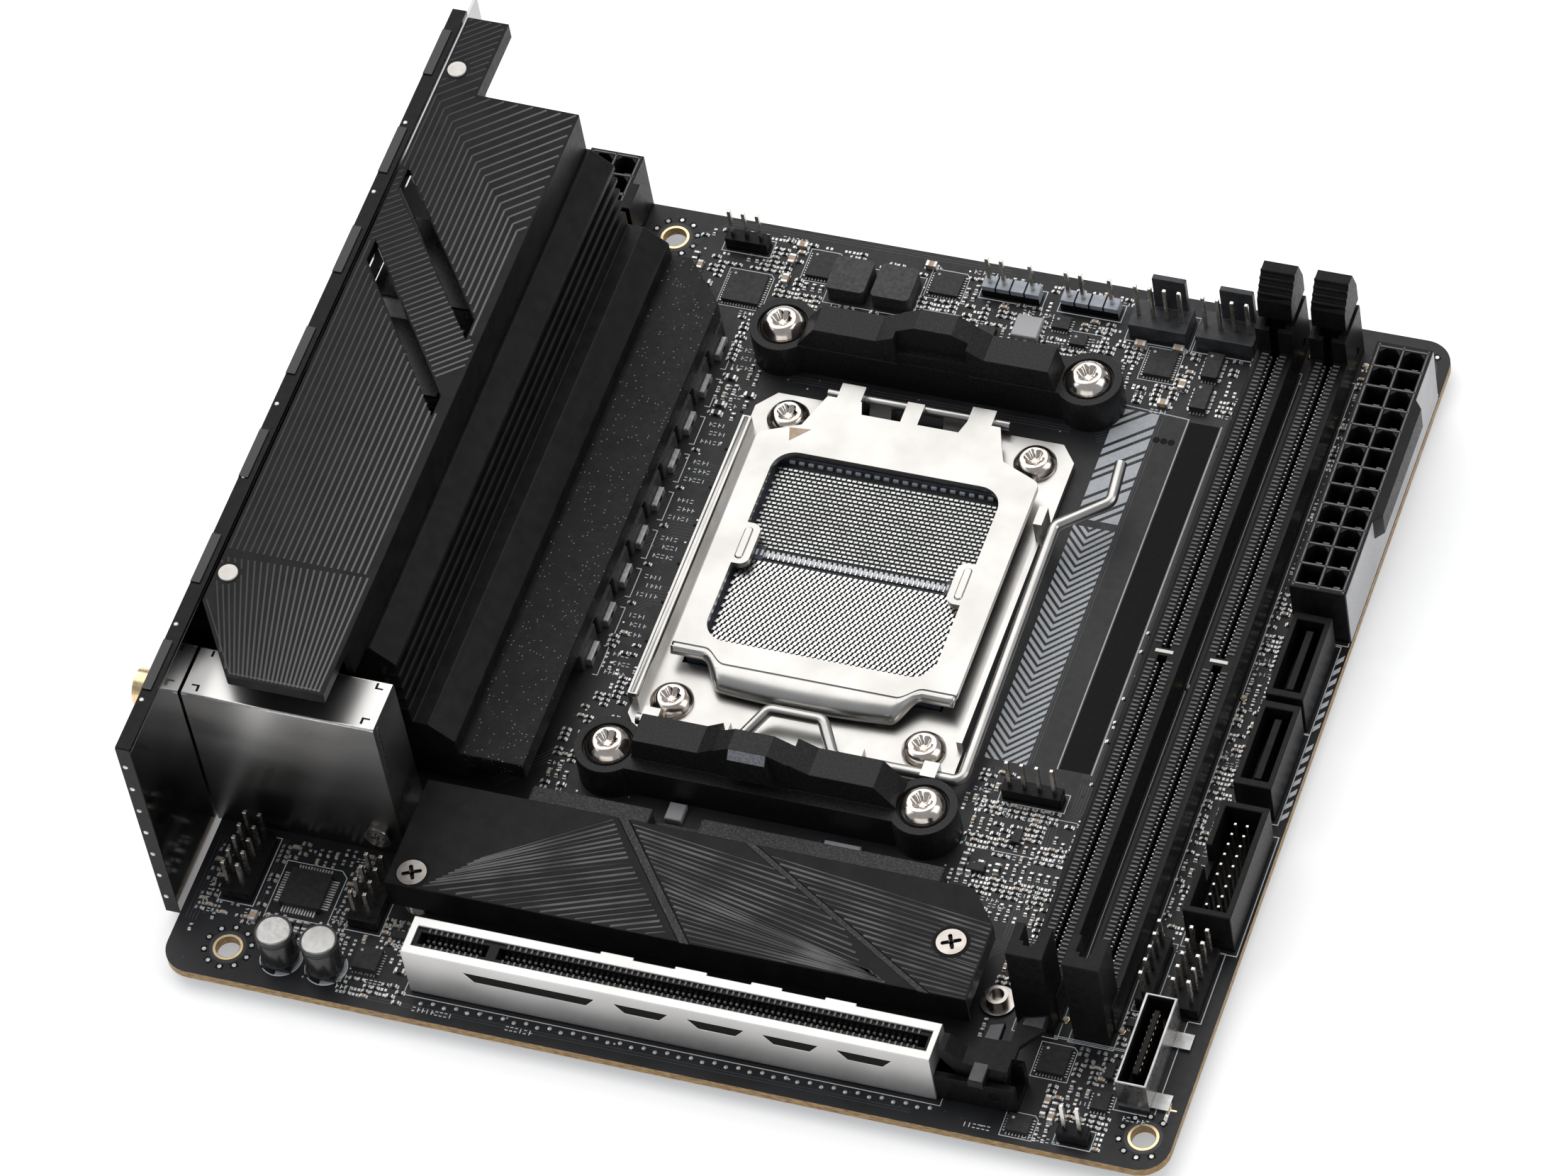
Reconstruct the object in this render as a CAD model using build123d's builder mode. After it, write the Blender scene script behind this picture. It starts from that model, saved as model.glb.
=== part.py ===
"""Mini-ITX computer motherboard with a land-grid CPU socket, two memory slots,
one x16 expansion slot, one covered M.2 bay and an integrated rear I/O panel.

Board coordinates, used for every number below (millimetres):
    X = 0 at the rear (I/O) edge, 170 at the front edge (memory / main power)
    Y = 0 at the expansion-slot edge, 170 at the memory-latch edge
    Z = 0 on the component side of the circuit board, +Z up
The row frame has the same directions, with its origin at the datum mounting
hole, 33.02 mm from the rear edge and 6.35 mm from the Y = 170 edge.
"""
import math
import os

from build123d import *

os.makedirs("parts", exist_ok=True)

# ---------------------------------------------------------------- driving sizes
BOARD_W = 170.0            # mini-ITX board, square
BOARD_T = 1.6
CORNER_R = 5.0
HOLE_R = 1.98              # mounting holes, 3.96 mm
DATUM_X, DATUM_Y = 33.02, 163.65
HOLES = [(33.02, 163.65), (165.10, 163.65), (10.16, 6.17), (165.10, 6.17)]

SOCKET_X, SOCKET_Y = 87.0, 99.3
COOLER_DX, COOLER_DY = 54.0, 90.0      # cooler screw pattern
ILM_DX, ILM_DY = 43.5, 60.5            # socket frame screw pattern
ILM_Y = 98.65

SHIELD_X0, SHIELD_X1 = -3.4, -0.9      # rear I/O panel, rim to inner face
SHIELD_Y0, SHIELD_Y1 = 12.2, 170.95    # 158.75 wide
SHIELD_Z0, SHIELD_Z1 = -2.24, 42.21    # 44.45 tall
SHEET = 0.5

COVER_TOP = 42.0
SINK_Y0, SINK_Y1 = 46.0, 153.5

DIMM_X = (142.7, 151.95)               # memory slot centres
DIMM_H = 6.5
PCIE_X0, PCIE_X1, PCIE_Y, PCIE_H = 42.4, 131.4, 8.6, 11.2

LEVER_Y, LEVER_Z, LEVER_R = 63.0, 3.0, 1.0
PLATE_Y, PLATE_Z, HINGE_R = 134.6, 3.3, 0.85
DIMM_PIVOT_Y, DIMM_PIVOT_Z, PIVOT_R = 162.2, 3.4, 0.9
PCIE_PIVOT_X, PCIE_PIVOT_Z = 141.2, 3.4
PIN = 0.64                             # square header pins
PITCH = 2.54

BOARD = Plane(origin=(-DATUM_X, -DATUM_Y, 0))


def side_x(x):
    """Plane facing +X at board x; local x = board Y, local y = Z."""
    return Plane(origin=(x - DATUM_X, -DATUM_Y, 0), x_dir=(0, 1, 0), z_dir=(1, 0, 0))


def side_y(y):
    """Plane facing -Y at board y; local x = board X, local y = Z."""
    return Plane(origin=(-DATUM_X, y - DATUM_Y, 0), x_dir=(1, 0, 0), z_dir=(0, -1, 0))


BASE = (Align.CENTER, Align.CENTER, Align.MIN)


def block(x0, x1, y0, y1, z0, z1, mode=Mode.ADD):
    """Box between two corners, in board coordinates."""
    with Locations(((x0 + x1) / 2, (y0 + y1) / 2, z0)):
        Box(x1 - x0, y1 - y0, z1 - z0, align=BASE, mode=mode)


def disc(x, y, z0, z1, r, mode=Mode.ADD):
    """Upright cylinder, in board coordinates."""
    with Locations((x, y, z0)):
        Cylinder(r, z1 - z0, align=BASE, mode=mode)


def rod_x(x0, x1, y, z, r, mode=Mode.ADD):
    """Cylinder along X, in board coordinates."""
    with Locations(Location(((x0 + x1) / 2, y, z), (0, 90, 0))):
        Cylinder(r, x1 - x0, mode=mode)


def rod_y(x, y0, y1, z, r, mode=Mode.ADD):
    """Cylinder along Y, in board coordinates."""
    with Locations(Location((x, (y0 + y1) / 2, z), (90, 0, 0))):
        Cylinder(r, y1 - y0, mode=mode)


def save(builder, name):
    builder.part.label = name
    export_step(builder.part, f"parts/{name}.step")


COOLER = [(SOCKET_X + sx * COOLER_DX / 2, SOCKET_Y + sy * COOLER_DY / 2)
          for sx in (-1, 1) for sy in (-1, 1)]
ILM = [(SOCKET_X + 0.25 + sx * ILM_DX / 2, ILM_Y + sy * ILM_DY / 2)
       for sx in (-1, 1) for sy in (-1, 1)]

# ---------------------------------------------------------------- circuit board
with BuildPart(BOARD) as pcb:
    with BuildSketch(BOARD.offset(-BOARD_T)):
        with Locations((BOARD_W / 2, BOARD_W / 2)):
            RectangleRounded(BOARD_W, BOARD_W, CORNER_R)
        with Locations(*HOLES):
            Circle(HOLE_R, mode=Mode.SUBTRACT)
        with Locations(*COOLER):
            Circle(2.6, mode=Mode.SUBTRACT)
        with Locations(*ILM):
            Circle(2.3, mode=Mode.SUBTRACT)
    extrude(amount=BOARD_T)
save(pcb, "pcb")

# ---------------------------------------------------------------- rear I/O panel
# The row of rear sockets: name, y centre, z centre, width, height of the cut-out
PORT_CUTS = [
    (35.2, 26.0, 7.2, 7.2), (35.2, 12.5, 7.2, 7.2),          # two aerial jacks
    (49.5, 5.6, 7.4, 7.4), (49.5, 18.4, 7.4, 7.4), (49.5, 31.2, 7.4, 7.4),
    (66.8, 15.5, 15.0, 30.6),                                  # USB stack 1
    (86.5, 15.5, 17.0, 30.6),                                  # LAN over USB
    (106.5, 15.5, 15.0, 30.6),                                 # USB stack 2
    (126.5, 15.5, 18.0, 30.6),                                 # display stack
    (145.0, 6.0, 5.2, 5.2),                                    # button
]
with BuildPart(BOARD) as io_shield:
    block(SHIELD_X1 - SHEET, SHIELD_X1, SHIELD_Y0, SHIELD_Y1, SHIELD_Z0, SHIELD_Z1)
    # folded rim, pointing out of the case
    block(SHIELD_X0, SHIELD_X1, SHIELD_Y0, SHIELD_Y0 + SHEET, SHIELD_Z0, SHIELD_Z1)
    block(SHIELD_X0, SHIELD_X1, SHIELD_Y1 - SHEET, SHIELD_Y1, SHIELD_Z0, SHIELD_Z1)
    block(SHIELD_X0, SHIELD_X1, SHIELD_Y0, SHIELD_Y1, SHIELD_Z0, SHIELD_Z0 + SHEET)
    block(SHIELD_X0, SHIELD_X1, SHIELD_Y0, SHIELD_Y1, SHIELD_Z1 - SHEET, SHIELD_Z1)
    # spring fingers bent out of the top rim
    for k in range(7):
        yk = 24.0 + 22.0 * k
        block(SHIELD_X0, SHIELD_X0 + 1.6, yk, yk + 10.0, SHIELD_Z1 - 0.2, SHIELD_Z1 + 0.35)
    # ear at the latch end
    block(SHIELD_X1 - SHEET, SHIELD_X1, SHIELD_Y1 - 1.0, SHIELD_Y1 + 4.4, 33.0, 41.0)
    for (yc, zc, w, h) in PORT_CUTS:
        if w == h:
            with BuildSketch(side_x(SHIELD_X1 - 2.0)):
                with Locations((yc, zc)):
                    Circle(w / 2)
        else:
            with BuildSketch(side_x(SHIELD_X1 - 2.0)):
                with Locations((yc, zc)):
                    RectangleRounded(w, h, 0.6)
        extrude(amount=3.0, mode=Mode.SUBTRACT)
    # ventilation slots above the sockets
    for yk in (60.5, 66.8, 73.1, 100.2, 106.5, 112.8, 120.2, 126.5, 132.8, 139.1):
        with BuildSketch(side_x(SHIELD_X1 - 2.0)):
            with Locations((yk, 36.0)):
                SlotOverall(4.6, 2.2)
        extrude(amount=3.0, mode=Mode.SUBTRACT)
save(io_shield, "io_shield")

# ---------------------------------------------------------------- I/O cover
COVER_OUT = [(-0.35, 169.9), (7.1, 169.9), (7.1, 153.8), (25.6, 153.4), (25.6, 29.6),
             (8.9, 29.6), (-0.35, 43.2)]
with BuildPart(BOARD) as io_cover:
    with BuildSketch(BOARD.offset(COVER_TOP - 2.0)):
        with BuildLine():
            Polyline(*COVER_OUT, close=True)
        make_face()
        # two slanted slots through the plate
        for (y0, y1) in ((134.0, 104.0), (118.0, 87.6)):
            with BuildLine(mode=Mode.PRIVATE) as slit:
                Polyline((1.2, y0 - 2.0), (1.2, y0 + 2.2), (23.2, y1 + 3.8), (23.2, y1 - 0.4), close=True)
            add(make_face(slit.edges(), mode=Mode.PRIVATE), mode=Mode.SUBTRACT)
    extrude(amount=2.0)
    # side skirt towards the heatsink, end skirt over the notch, tab skirt
    block(24.2, 25.6, 40.4, 153.4, 33.5, COVER_TOP - 2.0)
    block(7.1, 25.6, 152.0, 153.4, 33.5, COVER_TOP - 2.0)
    block(5.7, 7.1, 152.0, 169.9, 38.6, COVER_TOP - 2.0)
    block(9.0, 12.6, 137.4, 140.9, 0.0, COVER_TOP - 2.0)
    block(8.0, 12.0, 56.4, 58.9, 0.0, COVER_TOP - 2.0)
save(io_cover, "io_cover")

RIVETS = [(1.9, 158.3), (1.9, 49.2)]
with BuildPart(BOARD) as io_cover_rivets:
    for (x, y) in RIVETS:
        disc(x, y, COVER_TOP, COVER_TOP + 0.35, 1.6)
save(io_cover_rivets, "io_cover_rivets")

# ---------------------------------------------------------------- VRM heatsink
# four shelves on the right wall, each open for 1.9 mm above its 1.1 mm thick plate
with BuildPart(BOARD) as vrm_heatsink:
    with BuildSketch(side_y(SINK_Y1)):
        with BuildLine():
            Polyline((22.4, 2.0), (22.4, 33.3), (26.2, 33.3), (30.0, 30.1), (30.0, 28.9),
                     (27.4, 28.9), (27.4, 27.0), (30.05, 27.0), (30.05, 25.9),
                     (27.4, 25.9), (27.4, 24.0), (30.1, 24.0), (30.1, 22.9),
                     (27.4, 22.9), (27.4, 21.0), (30.15, 21.0), (30.15, 19.9),
                     (27.4, 19.9), (27.4, 18.0), (30.2, 18.0), (30.2, 14.8),
                     (33.0, 14.8), (37.1, 11.4), (37.1, 8.4), (48.4, 8.4), (48.4, 4.8),
                     (38.4, 4.8), (38.4, 2.0), close=True)
        make_face()
    extrude(amount=SINK_Y1 - SINK_Y0)
    # chamfered outer corner of the low wing
    with BuildSketch(BOARD.offset(4.0)):
        with BuildLine():
            Polyline((40.8, 154.5), (40.8, 153.5), (48.6, 144.9), (50.0, 144.9), (50.0, 154.5), close=True)
        make_face()
    extrude(amount=6.0, mode=Mode.SUBTRACT)
    # the tall part stops short of the power plug and the shield can
    block(22.0, 28.5, 150.8, 154.0, 1.0, 14.4, mode=Mode.SUBTRACT)
save(vrm_heatsink, "vrm_heatsink")

with BuildPart(BOARD) as power_stages:
    for k in range(10):
        block(31.0, 36.0, 53.0 + 9.4 * k, 59.0 + 9.4 * k, 0.0, 1.0)
save(power_stages, "power_stages")

CHOKE_Y = [75.5 + 8.25 * k for k in range(9)]
with BuildPart(BOARD) as vrm_chokes:
    for y in CHOKE_Y:
        block(40.4, 48.6, y - 3.5, y + 3.5, 0.0, 4.3)
    for y in CHOKE_Y:                                 # plated terminals at the outer end
        block(48.6, 49.5, y - 2.0, y + 2.0, 0.0, 1.6)
save(vrm_chokes, "vrm_chokes")

with BuildPart(BOARD) as thermal_pads:
    block(30.0, 37.0, 50.0, 146.0, 1.0, 2.0)           # power stages
    block(40.6, 48.2, 71.6, 141.6, 4.3, 4.8)           # chokes
    block(46.0, 116.0, 20.6, 38.8, 4.9, 5.7)           # M.2 bay
save(thermal_pads, "thermal_pads")


# ---------------------------------------------------------------- power sockets
def power_socket(x0, x1, y0, y1, z1, nx, ny, pitch, wall):
    """Open-topped housing with a grid of square cells."""
    block(x0, x1, y0, y1, 0.0, z1)
    cx, cy = (x0 + x1) / 2, (y0 + y1) / 2
    with Locations((cx, cy, 2.2)):
        with GridLocations(pitch, pitch, nx, ny):
            Box(pitch - wall, pitch - wall, z1, align=BASE, mode=Mode.SUBTRACT)


ATX = (160.4, 169.9, 106.2, 158.4)
EPS = (17.5, 27.1, 152.0, 169.9)
PLUG_H = 12.7
with BuildPart(BOARD) as atx_power_connector:
    power_socket(*ATX, PLUG_H, 2, 12, 4.2, 0.7)
    with BuildSketch(BOARD.offset(8.0)):
        with BuildLine():
            Polyline((169.8, 121.6), (171.3, 123.4), (171.3, 146.2), (169.8, 148.0), close=True)
        make_face()
    extrude(amount=PLUG_H - 8.0)
save(atx_power_connector, "atx_power_connector")

with BuildPart(BOARD) as eps_power_connector:
    power_socket(*EPS, PLUG_H, 2, 4, 4.2, 0.7)
    block(27.0, 28.4, 158.2, 163.8, 4.6, PLUG_H)
save(eps_power_connector, "eps_power_connector")

with BuildPart(BOARD) as power_connector_pins:
    for (b, nx, ny) in ((ATX, 2, 12), (EPS, 2, 4)):
        with Locations(((b[0] + b[1]) / 2, (b[2] + b[3]) / 2, 2.2)):
            with GridLocations(4.2, 4.2, nx, ny):
                Box(1.1, 1.1, 7.6, align=BASE)
save(power_connector_pins, "power_connector_pins")


# ---------------------------------------------------------------- memory slots
def dimm_slot(xc):
    """Long rail pair, closed tower at one end, forked tower at the other."""
    w = 6.4 / 2
    block(xc - w, xc + w, 24.0, 157.5, 0.0, DIMM_H)
    # fixed end tower
    block(xc - 3.0, xc + 3.0, 21.4, 27.6, 0.0, 20.4)
    # forked tower for the latch
    block(xc - w, xc + w, 157.0, 165.6, 0.0, 12.0)
    block(xc - 1.75, xc + 1.75, 157.9, 167.0, 1.2, 13.0, mode=Mode.SUBTRACT)
    rod_x(xc - 5, xc + 5, DIMM_PIVOT_Y, DIMM_PIVOT_Z, PIVOT_R + 0.08, mode=Mode.SUBTRACT)
    # module slot, with the key left standing
    block(xc - 0.75, xc + 0.75, 23.6, 92.4, 2.2, 30.0, mode=Mode.SUBTRACT)
    block(xc - 0.75, xc + 0.75, 94.0, 158.2, 2.2, 30.0, mode=Mode.SUBTRACT)
    # wide guide mouth in the fixed tower
    block(xc - 1.5, xc + 1.5, 24.4, 28.0, 6.6, 30.0, mode=Mode.SUBTRACT)


with BuildPart(BOARD) as dimm_slot_1:
    dimm_slot(DIMM_X[0])
save(dimm_slot_1, "dimm_slot_1")
with BuildPart(BOARD) as dimm_slot_2:
    dimm_slot(DIMM_X[1])
save(dimm_slot_2, "dimm_slot_2")

with BuildPart(BOARD) as dimm_contacts:               # the two contact rows of each slot
    for xc in DIMM_X:
        for sx in (-1, 1):
            for (y0, y1) in ((29.0, 91.6), (94.8, 156.0)):
                with Locations((xc + sx * 0.56, (y0 + y1) / 2, 2.2)):
                    Box(0.34, y1 - y0, 2.6, align=BASE)
save(dimm_contacts, "dimm_contacts")


def dimm_latch(xc):
    """Pivoting ejector: blade in the fork, wide ridged thumb tab on top."""
    with BuildSketch(side_x(xc - 1.5)) as blade:
        with BuildLine():
            Polyline((159.0, 1.9), (162.4, 1.6), (163.8, 2.2), (164.6, 3.6), (165.2, 5.0), (165.2, 13.0), (165.9, 14.6),
                     (165.9, 17.0), (164.4, 21.0), (162.4, 21.0), (159.0, 17.2),
                     (158.8, 14.8), (159.6, 13.2), (160.6, 9.0), (160.4, 5.0), (159.0, 3.2), close=True)
        make_face()
    extrude(blade.sketch, amount=3.0)
    with BuildSketch(side_x(xc - 2.95)) as head:
        with BuildLine():
            Polyline((158.8, 13.1), (165.9, 13.1), (165.9, 17.0), (164.4, 21.0), (162.4, 21.0),
                     (159.0, 17.2), (158.8, 14.8), close=True)
        make_face()
    extrude(head.sketch, amount=5.9)
    rod_x(xc - 2.95, xc + 2.95, DIMM_PIVOT_Y, DIMM_PIVOT_Z, PIVOT_R)
    # thumb ridges across the sloping face
    for k in range(4):
        yk, zk = 159.8 + 0.85 * k, 18.15 + 0.95 * k
        rod_x(xc - 2.95, xc + 2.95, yk, zk - 0.02, 0.3)


with BuildPart(BOARD) as dimm_latch_1:
    dimm_latch(DIMM_X[0])
save(dimm_latch_1, "dimm_latch_1")
with BuildPart(BOARD) as dimm_latch_2:
    dimm_latch(DIMM_X[1])
save(dimm_latch_2, "dimm_latch_2")

# ---------------------------------------------------------------- expansion slot
SLOT_W = 3.6                                          # half width of the plastic body
with BuildPart(BOARD) as pcie_slot:
    block(PCIE_X0 + 0.4, PCIE_X1 - 0.4, PCIE_Y - 3.0, PCIE_Y + 3.0, 0.0, PCIE_H - 0.5)
    # card slot in two lengths with the key between them
    block(PCIE_X0 + 2.0, PCIE_X0 + 13.6, PCIE_Y - 1.1, PCIE_Y + 1.1, 3.0, 20.0, mode=Mode.SUBTRACT)
    block(PCIE_X0 + 15.4, PCIE_X1 - 1.6, PCIE_Y - 1.1, PCIE_Y + 1.1, 3.0, 20.0, mode=Mode.SUBTRACT)
    # latch yoke beyond the shielded part
    block(PCIE_X1 - 0.4, 144.6, PCIE_Y - 3.0, PCIE_Y - 1.9, 0.0, 6.2)
    block(PCIE_X1 - 0.4, 144.6, PCIE_Y + 1.9, PCIE_Y + 3.0, 0.0, 6.2)
    block(PCIE_X1 - 0.4, 144.6, PCIE_Y - 3.0, PCIE_Y + 3.0, 0.0, 1.0)
    rod_y(PCIE_PIVOT_X, PCIE_Y - 5, PCIE_Y + 5, PCIE_PIVOT_Z, PIVOT_R + 0.08, mode=Mode.SUBTRACT)
save(pcie_slot, "pcie_slot")

with BuildPart(BOARD) as pcie_slot_shield:            # stamped steel sleeve over the body
    block(PCIE_X0, PCIE_X1, PCIE_Y - SLOT_W, PCIE_Y + SLOT_W, 0.2, PCIE_H)
    block(PCIE_X0 + 0.4, PCIE_X1 - 0.4, PCIE_Y - 3.0, PCIE_Y + 3.0, 0.0, PCIE_H - 0.5, mode=Mode.SUBTRACT)
    block(PCIE_X0 + 1.2, PCIE_X1 - 1.0, PCIE_Y - 1.9, PCIE_Y + 1.9, 5.0, 20.0, mode=Mode.SUBTRACT)
    block(PCIE_X1 - 0.6, PCIE_X1 + 0.6, PCIE_Y - 3.0, PCIE_Y + 3.0, -1.0, 6.2, mode=Mode.SUBTRACT)
    for (x0, x1) in ((52.8, 75.0), (78.4, 87.4), (90.8, 100.2), (103.4, 112.6), (115.8, 124.8)):
        with BuildSketch(side_y(PCIE_Y - 3.2)):       # windows in the front wall
            with BuildLine():
                Polyline((x0, 8.6), (x1, 8.6), (x1 - 1.6, 6.6), (x0 + 1.6, 6.6), close=True)
            make_face()
        extrude(amount=2.0, mode=Mode.SUBTRACT)
    for (x0, x1) in ((74.0, 79.6), (86.6, 92.0), (99.4, 104.6), (111.8, 117.0)):
        block(x0, x1, PCIE_Y + 2.0, PCIE_Y + SLOT_W + 0.5, PCIE_H - 0.4, PCIE_H)
save(pcie_slot_shield, "pcie_slot_shield")

with BuildPart(BOARD) as pcie_contacts:
    for sy in (-1, 1):
        for (x0, x1) in ((PCIE_X0 + 2.6, PCIE_X0 + 13.0), (PCIE_X0 + 16.0, PCIE_X1 - 2.4)):
            with Locations(((x0 + x1) / 2, PCIE_Y + sy * 0.9, 3.0)):
                Box(x1 - x0, 0.3, 5.6, align=BASE)
save(pcie_contacts, "pcie_contacts")

with BuildPart(BOARD) as pcie_latch:                  # card retention lever
    with BuildSketch(side_y(PCIE_Y + 1.6)):
        with BuildLine():
            Polyline((135.8, 1.6), (142.4, 1.6), (142.8, 6.0), (142.2, 8.4), (136.0, 9.4),
                     (133.4, 12.0), (132.4, 12.0), (132.4, 9.6), (135.0, 6.0), close=True)
        make_face()
    extrude(amount=3.2)
    block(134.2, 143.4, PCIE_Y - 1.6, PCIE_Y + 1.6, 7.8, 9.2)      # top bar
    block(137.8, 140.3, 4.0, 16.0, 7.8, 9.2)                       # cross arm, both sides of the slot
    block(140.2, 143.8, 9.6, 12.7, 8.2, 9.2)
    with BuildSketch(BOARD.offset(8.2)):                           # finger flag
        with BuildLine():
            Polyline((142.2, 12.2), (143.8, 12.2), (146.8, 16.0), (146.5, 18.8), (142.8, 17.7), (142.2, 16.2), close=True)
        make_face()
    extrude(amount=1.0)
    rod_y(PCIE_PIVOT_X, PCIE_Y - 2.8, PCIE_Y + 2.8, PCIE_PIVOT_Z, PIVOT_R)
save(pcie_latch, "pcie_latch")

# ---------------------------------------------------------------- CPU socket
with BuildPart(BOARD) as cpu_socket_body:
    block(65.0, 108.8, 77.2, 121.4, 0.0, 3.6)
    block(66.6, 107.0, 79.0, 119.8, 2.2, 6.0, mode=Mode.SUBTRACT)
    block(66.6, 71.0, 98.6, 101.6, 2.2, 3.0)
    block(102.6, 107.0, 98.6, 101.6, 2.2, 3.0)
save(cpu_socket_body, "cpu_socket_body")

with BuildPart(BOARD) as socket_contacts:             # two fields of spring contacts
    block(67.6, 106.0, 79.8, 98.3, 2.2, 2.9)
    block(67.6, 106.0, 101.9, 119.0, 2.2, 2.9)
save(socket_contacts, "socket_contacts")

with BuildPart(BOARD) as ilm_frame:                   # stamped steel socket frame
    with BuildSketch(BOARD.offset(0.3)):
        with BuildLine():
            Polyline((59.0, 64.8), (61.4, 61.6), (78.0, 61.4), (97.0, 61.4), (112.6, 61.6), (115.2, 64.8),
                     (115.2, 130.6), (112.4, 134.0), (101.0, 134.0), (101.0, 131.4), (73.0, 131.4),
                     (73.0, 134.0), (62.0, 134.0), (59.0, 130.6), close=True)
        make_face()
        with Locations(((64.4 + 109.4) / 2, (76.6 + 122.0) / 2)):
            Rectangle(109.4 - 64.4, 122.0 - 76.6, mode=Mode.SUBTRACT)
        with Locations(*ILM):
            Circle(1.75, mode=Mode.SUBTRACT)
    extrude(amount=1.3)
    block(58.7, 60.3, 66.6, 126.0, 0.3, 4.6)          # rolled left edge
    block(114.2, 115.2, 70.0, 112.0, 0.3, 3.6)        # right edge
    # lever bearings at the front edge
    for (x0, x1) in ((62.6, 65.4), (74.5, 77.5), (97.5, 100.5), (110.8, 113.4)):
        block(x0, x1, 61.5, 64.5, 0.3, 4.9)
    rod_x(58.0, 118.0, LEVER_Y, LEVER_Z, LEVER_R + 0.08, mode=Mode.SUBTRACT)
    # lever hook on the right edge
    block(114.2, 115.7, 112.8, 116.6, 0.3, 7.4)
    # hinge bar carried by two posts
    for (x0, x1) in ((78.6, 82.4), (91.6, 95.4)):
        with BuildSketch(side_x(x0)):
            with BuildLine():
                Polyline((130.6, 0.3), (135.4, 0.3), (135.4, 3.6), (134.0, 3.9), (132.6, 1.6), (130.6, 1.6), close=True)
            make_face()
        extrude(amount=x1 - x0)
    rod_x(71.0, 103.0, PLATE_Y, PLATE_Z, HINGE_R)
save(ilm_frame, "ilm_frame")

with BuildPart(BOARD) as ilm_screws:
    for (x, y) in ILM:
        with BuildSketch(BOARD.offset(1.6)):
            with Locations((x, y)):
                Circle(3.65)
        extrude(amount=2.2)
        disc(x, y, -1.6, 1.6, 1.7)
    fillet(ilm_screws.edges().filter_by(GeomType.CIRCLE).group_by(Axis.Z)[-1], 0.8)
    for (x, y) in ILM:
        with BuildSketch(BOARD.offset(4.0)):
            for a in (0, 60, 120):
                with Locations(Location((x, y, 0), (0, 0, a))):
                    SlotOverall(3.9, 1.3)
        extrude(amount=-1.5, mode=Mode.SUBTRACT)
save(ilm_screws, "ilm_screws")

PLATE_T = 1.2
with BuildPart(BOARD) as load_plate:
    with BuildSketch(BOARD.offset(4.2)):
        with BuildLine():                             # outline with set-back corners
            Polyline((62.8, 76.8), (68.9, 76.8), (70.3, 76.1), (71.5, 74.2), (73.0, 74.0), (101.3, 74.0),
                     (103.3, 74.2), (105.0, 76.1), (106.4, 76.8), (112.0, 76.8), (112.0, 122.6),
                     (104.8, 125.6), (103.6, 128.6), (102.2, 132.4), (96.4, 132.4), (95.6, 129.8),
                     (78.6, 129.8), (77.8, 132.4), (71.8, 132.4), (70.4, 128.6), (69.4, 125.6),
                     (62.6, 122.6), close=True)
        make_face()
        with Locations((87.0, 99.7)):                 # window with a tab on each side
            RectangleRounded(39.8, 40.2, 4.0, mode=Mode.SUBTRACT)
        with Locations((67.6, 99.7), (106.4, 99.7)):
            RectangleRounded(4.4, 8.6, 1.6)
    extrude(amount=PLATE_T)
    with BuildSketch(side_x(72.4)):                   # front tongue, rolled downwards
        with BuildLine():
            Polyline((74.8, 5.4), (73.7, 5.28), (72.7, 4.88), (71.95, 4.3), (71.5, 3.6), (71.4, 2.9),
                     (72.4, 2.9), (72.6, 3.6), (73.2, 4.0), (74.8, 4.2), close=True)
        make_face()
    extrude(amount=102.2 - 72.4)
    # knuckles round the hinge bar
    for (x0, x1) in ((73.4, 77.6), (96.4, 100.6)):
        block(x0, x1, 131.6, 135.6, 3.9, 5.4)
        rod_x(x0, x1, PLATE_Y, PLATE_Z, 2.1)
        rod_x(x0 - 1, x1 + 1, PLATE_Y, PLATE_Z, HINGE_R + 0.08, mode=Mode.SUBTRACT)
    block(85.4, 88.4, 129.0, 134.2, 4.4, 5.4)         # middle finger
    fillet(load_plate.edges().filter_by(Axis.Z).group_by(Axis.X)[0], 1.5)
    fillet(load_plate.edges().filter_by(Axis.Z).group_by(Axis.X)[-1], 1.5)
save(load_plate, "load_plate")

with BuildPart() as load_lever:                       # one bent wire
    with BuildLine(BOARD) as wire:
        FilletPolyline((61.4, LEVER_Y, LEVER_Z), (79.2, LEVER_Y, LEVER_Z), (82.6, 68.6, 4.6),
                       (92.0, 68.6, 4.6), (95.4, LEVER_Y, LEVER_Z), (117.3, LEVER_Y, LEVER_Z),
                       (117.3, 114.4, 5.6), (125.2, 120.6, 6.6), (124.6, 128.4, 7.0), radius=1.7)
    with BuildSketch(Plane(origin=wire.line @ 0, z_dir=wire.line % 0)):
        Circle(LEVER_R)
    sweep()
save(load_lever, "load_lever")


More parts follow.
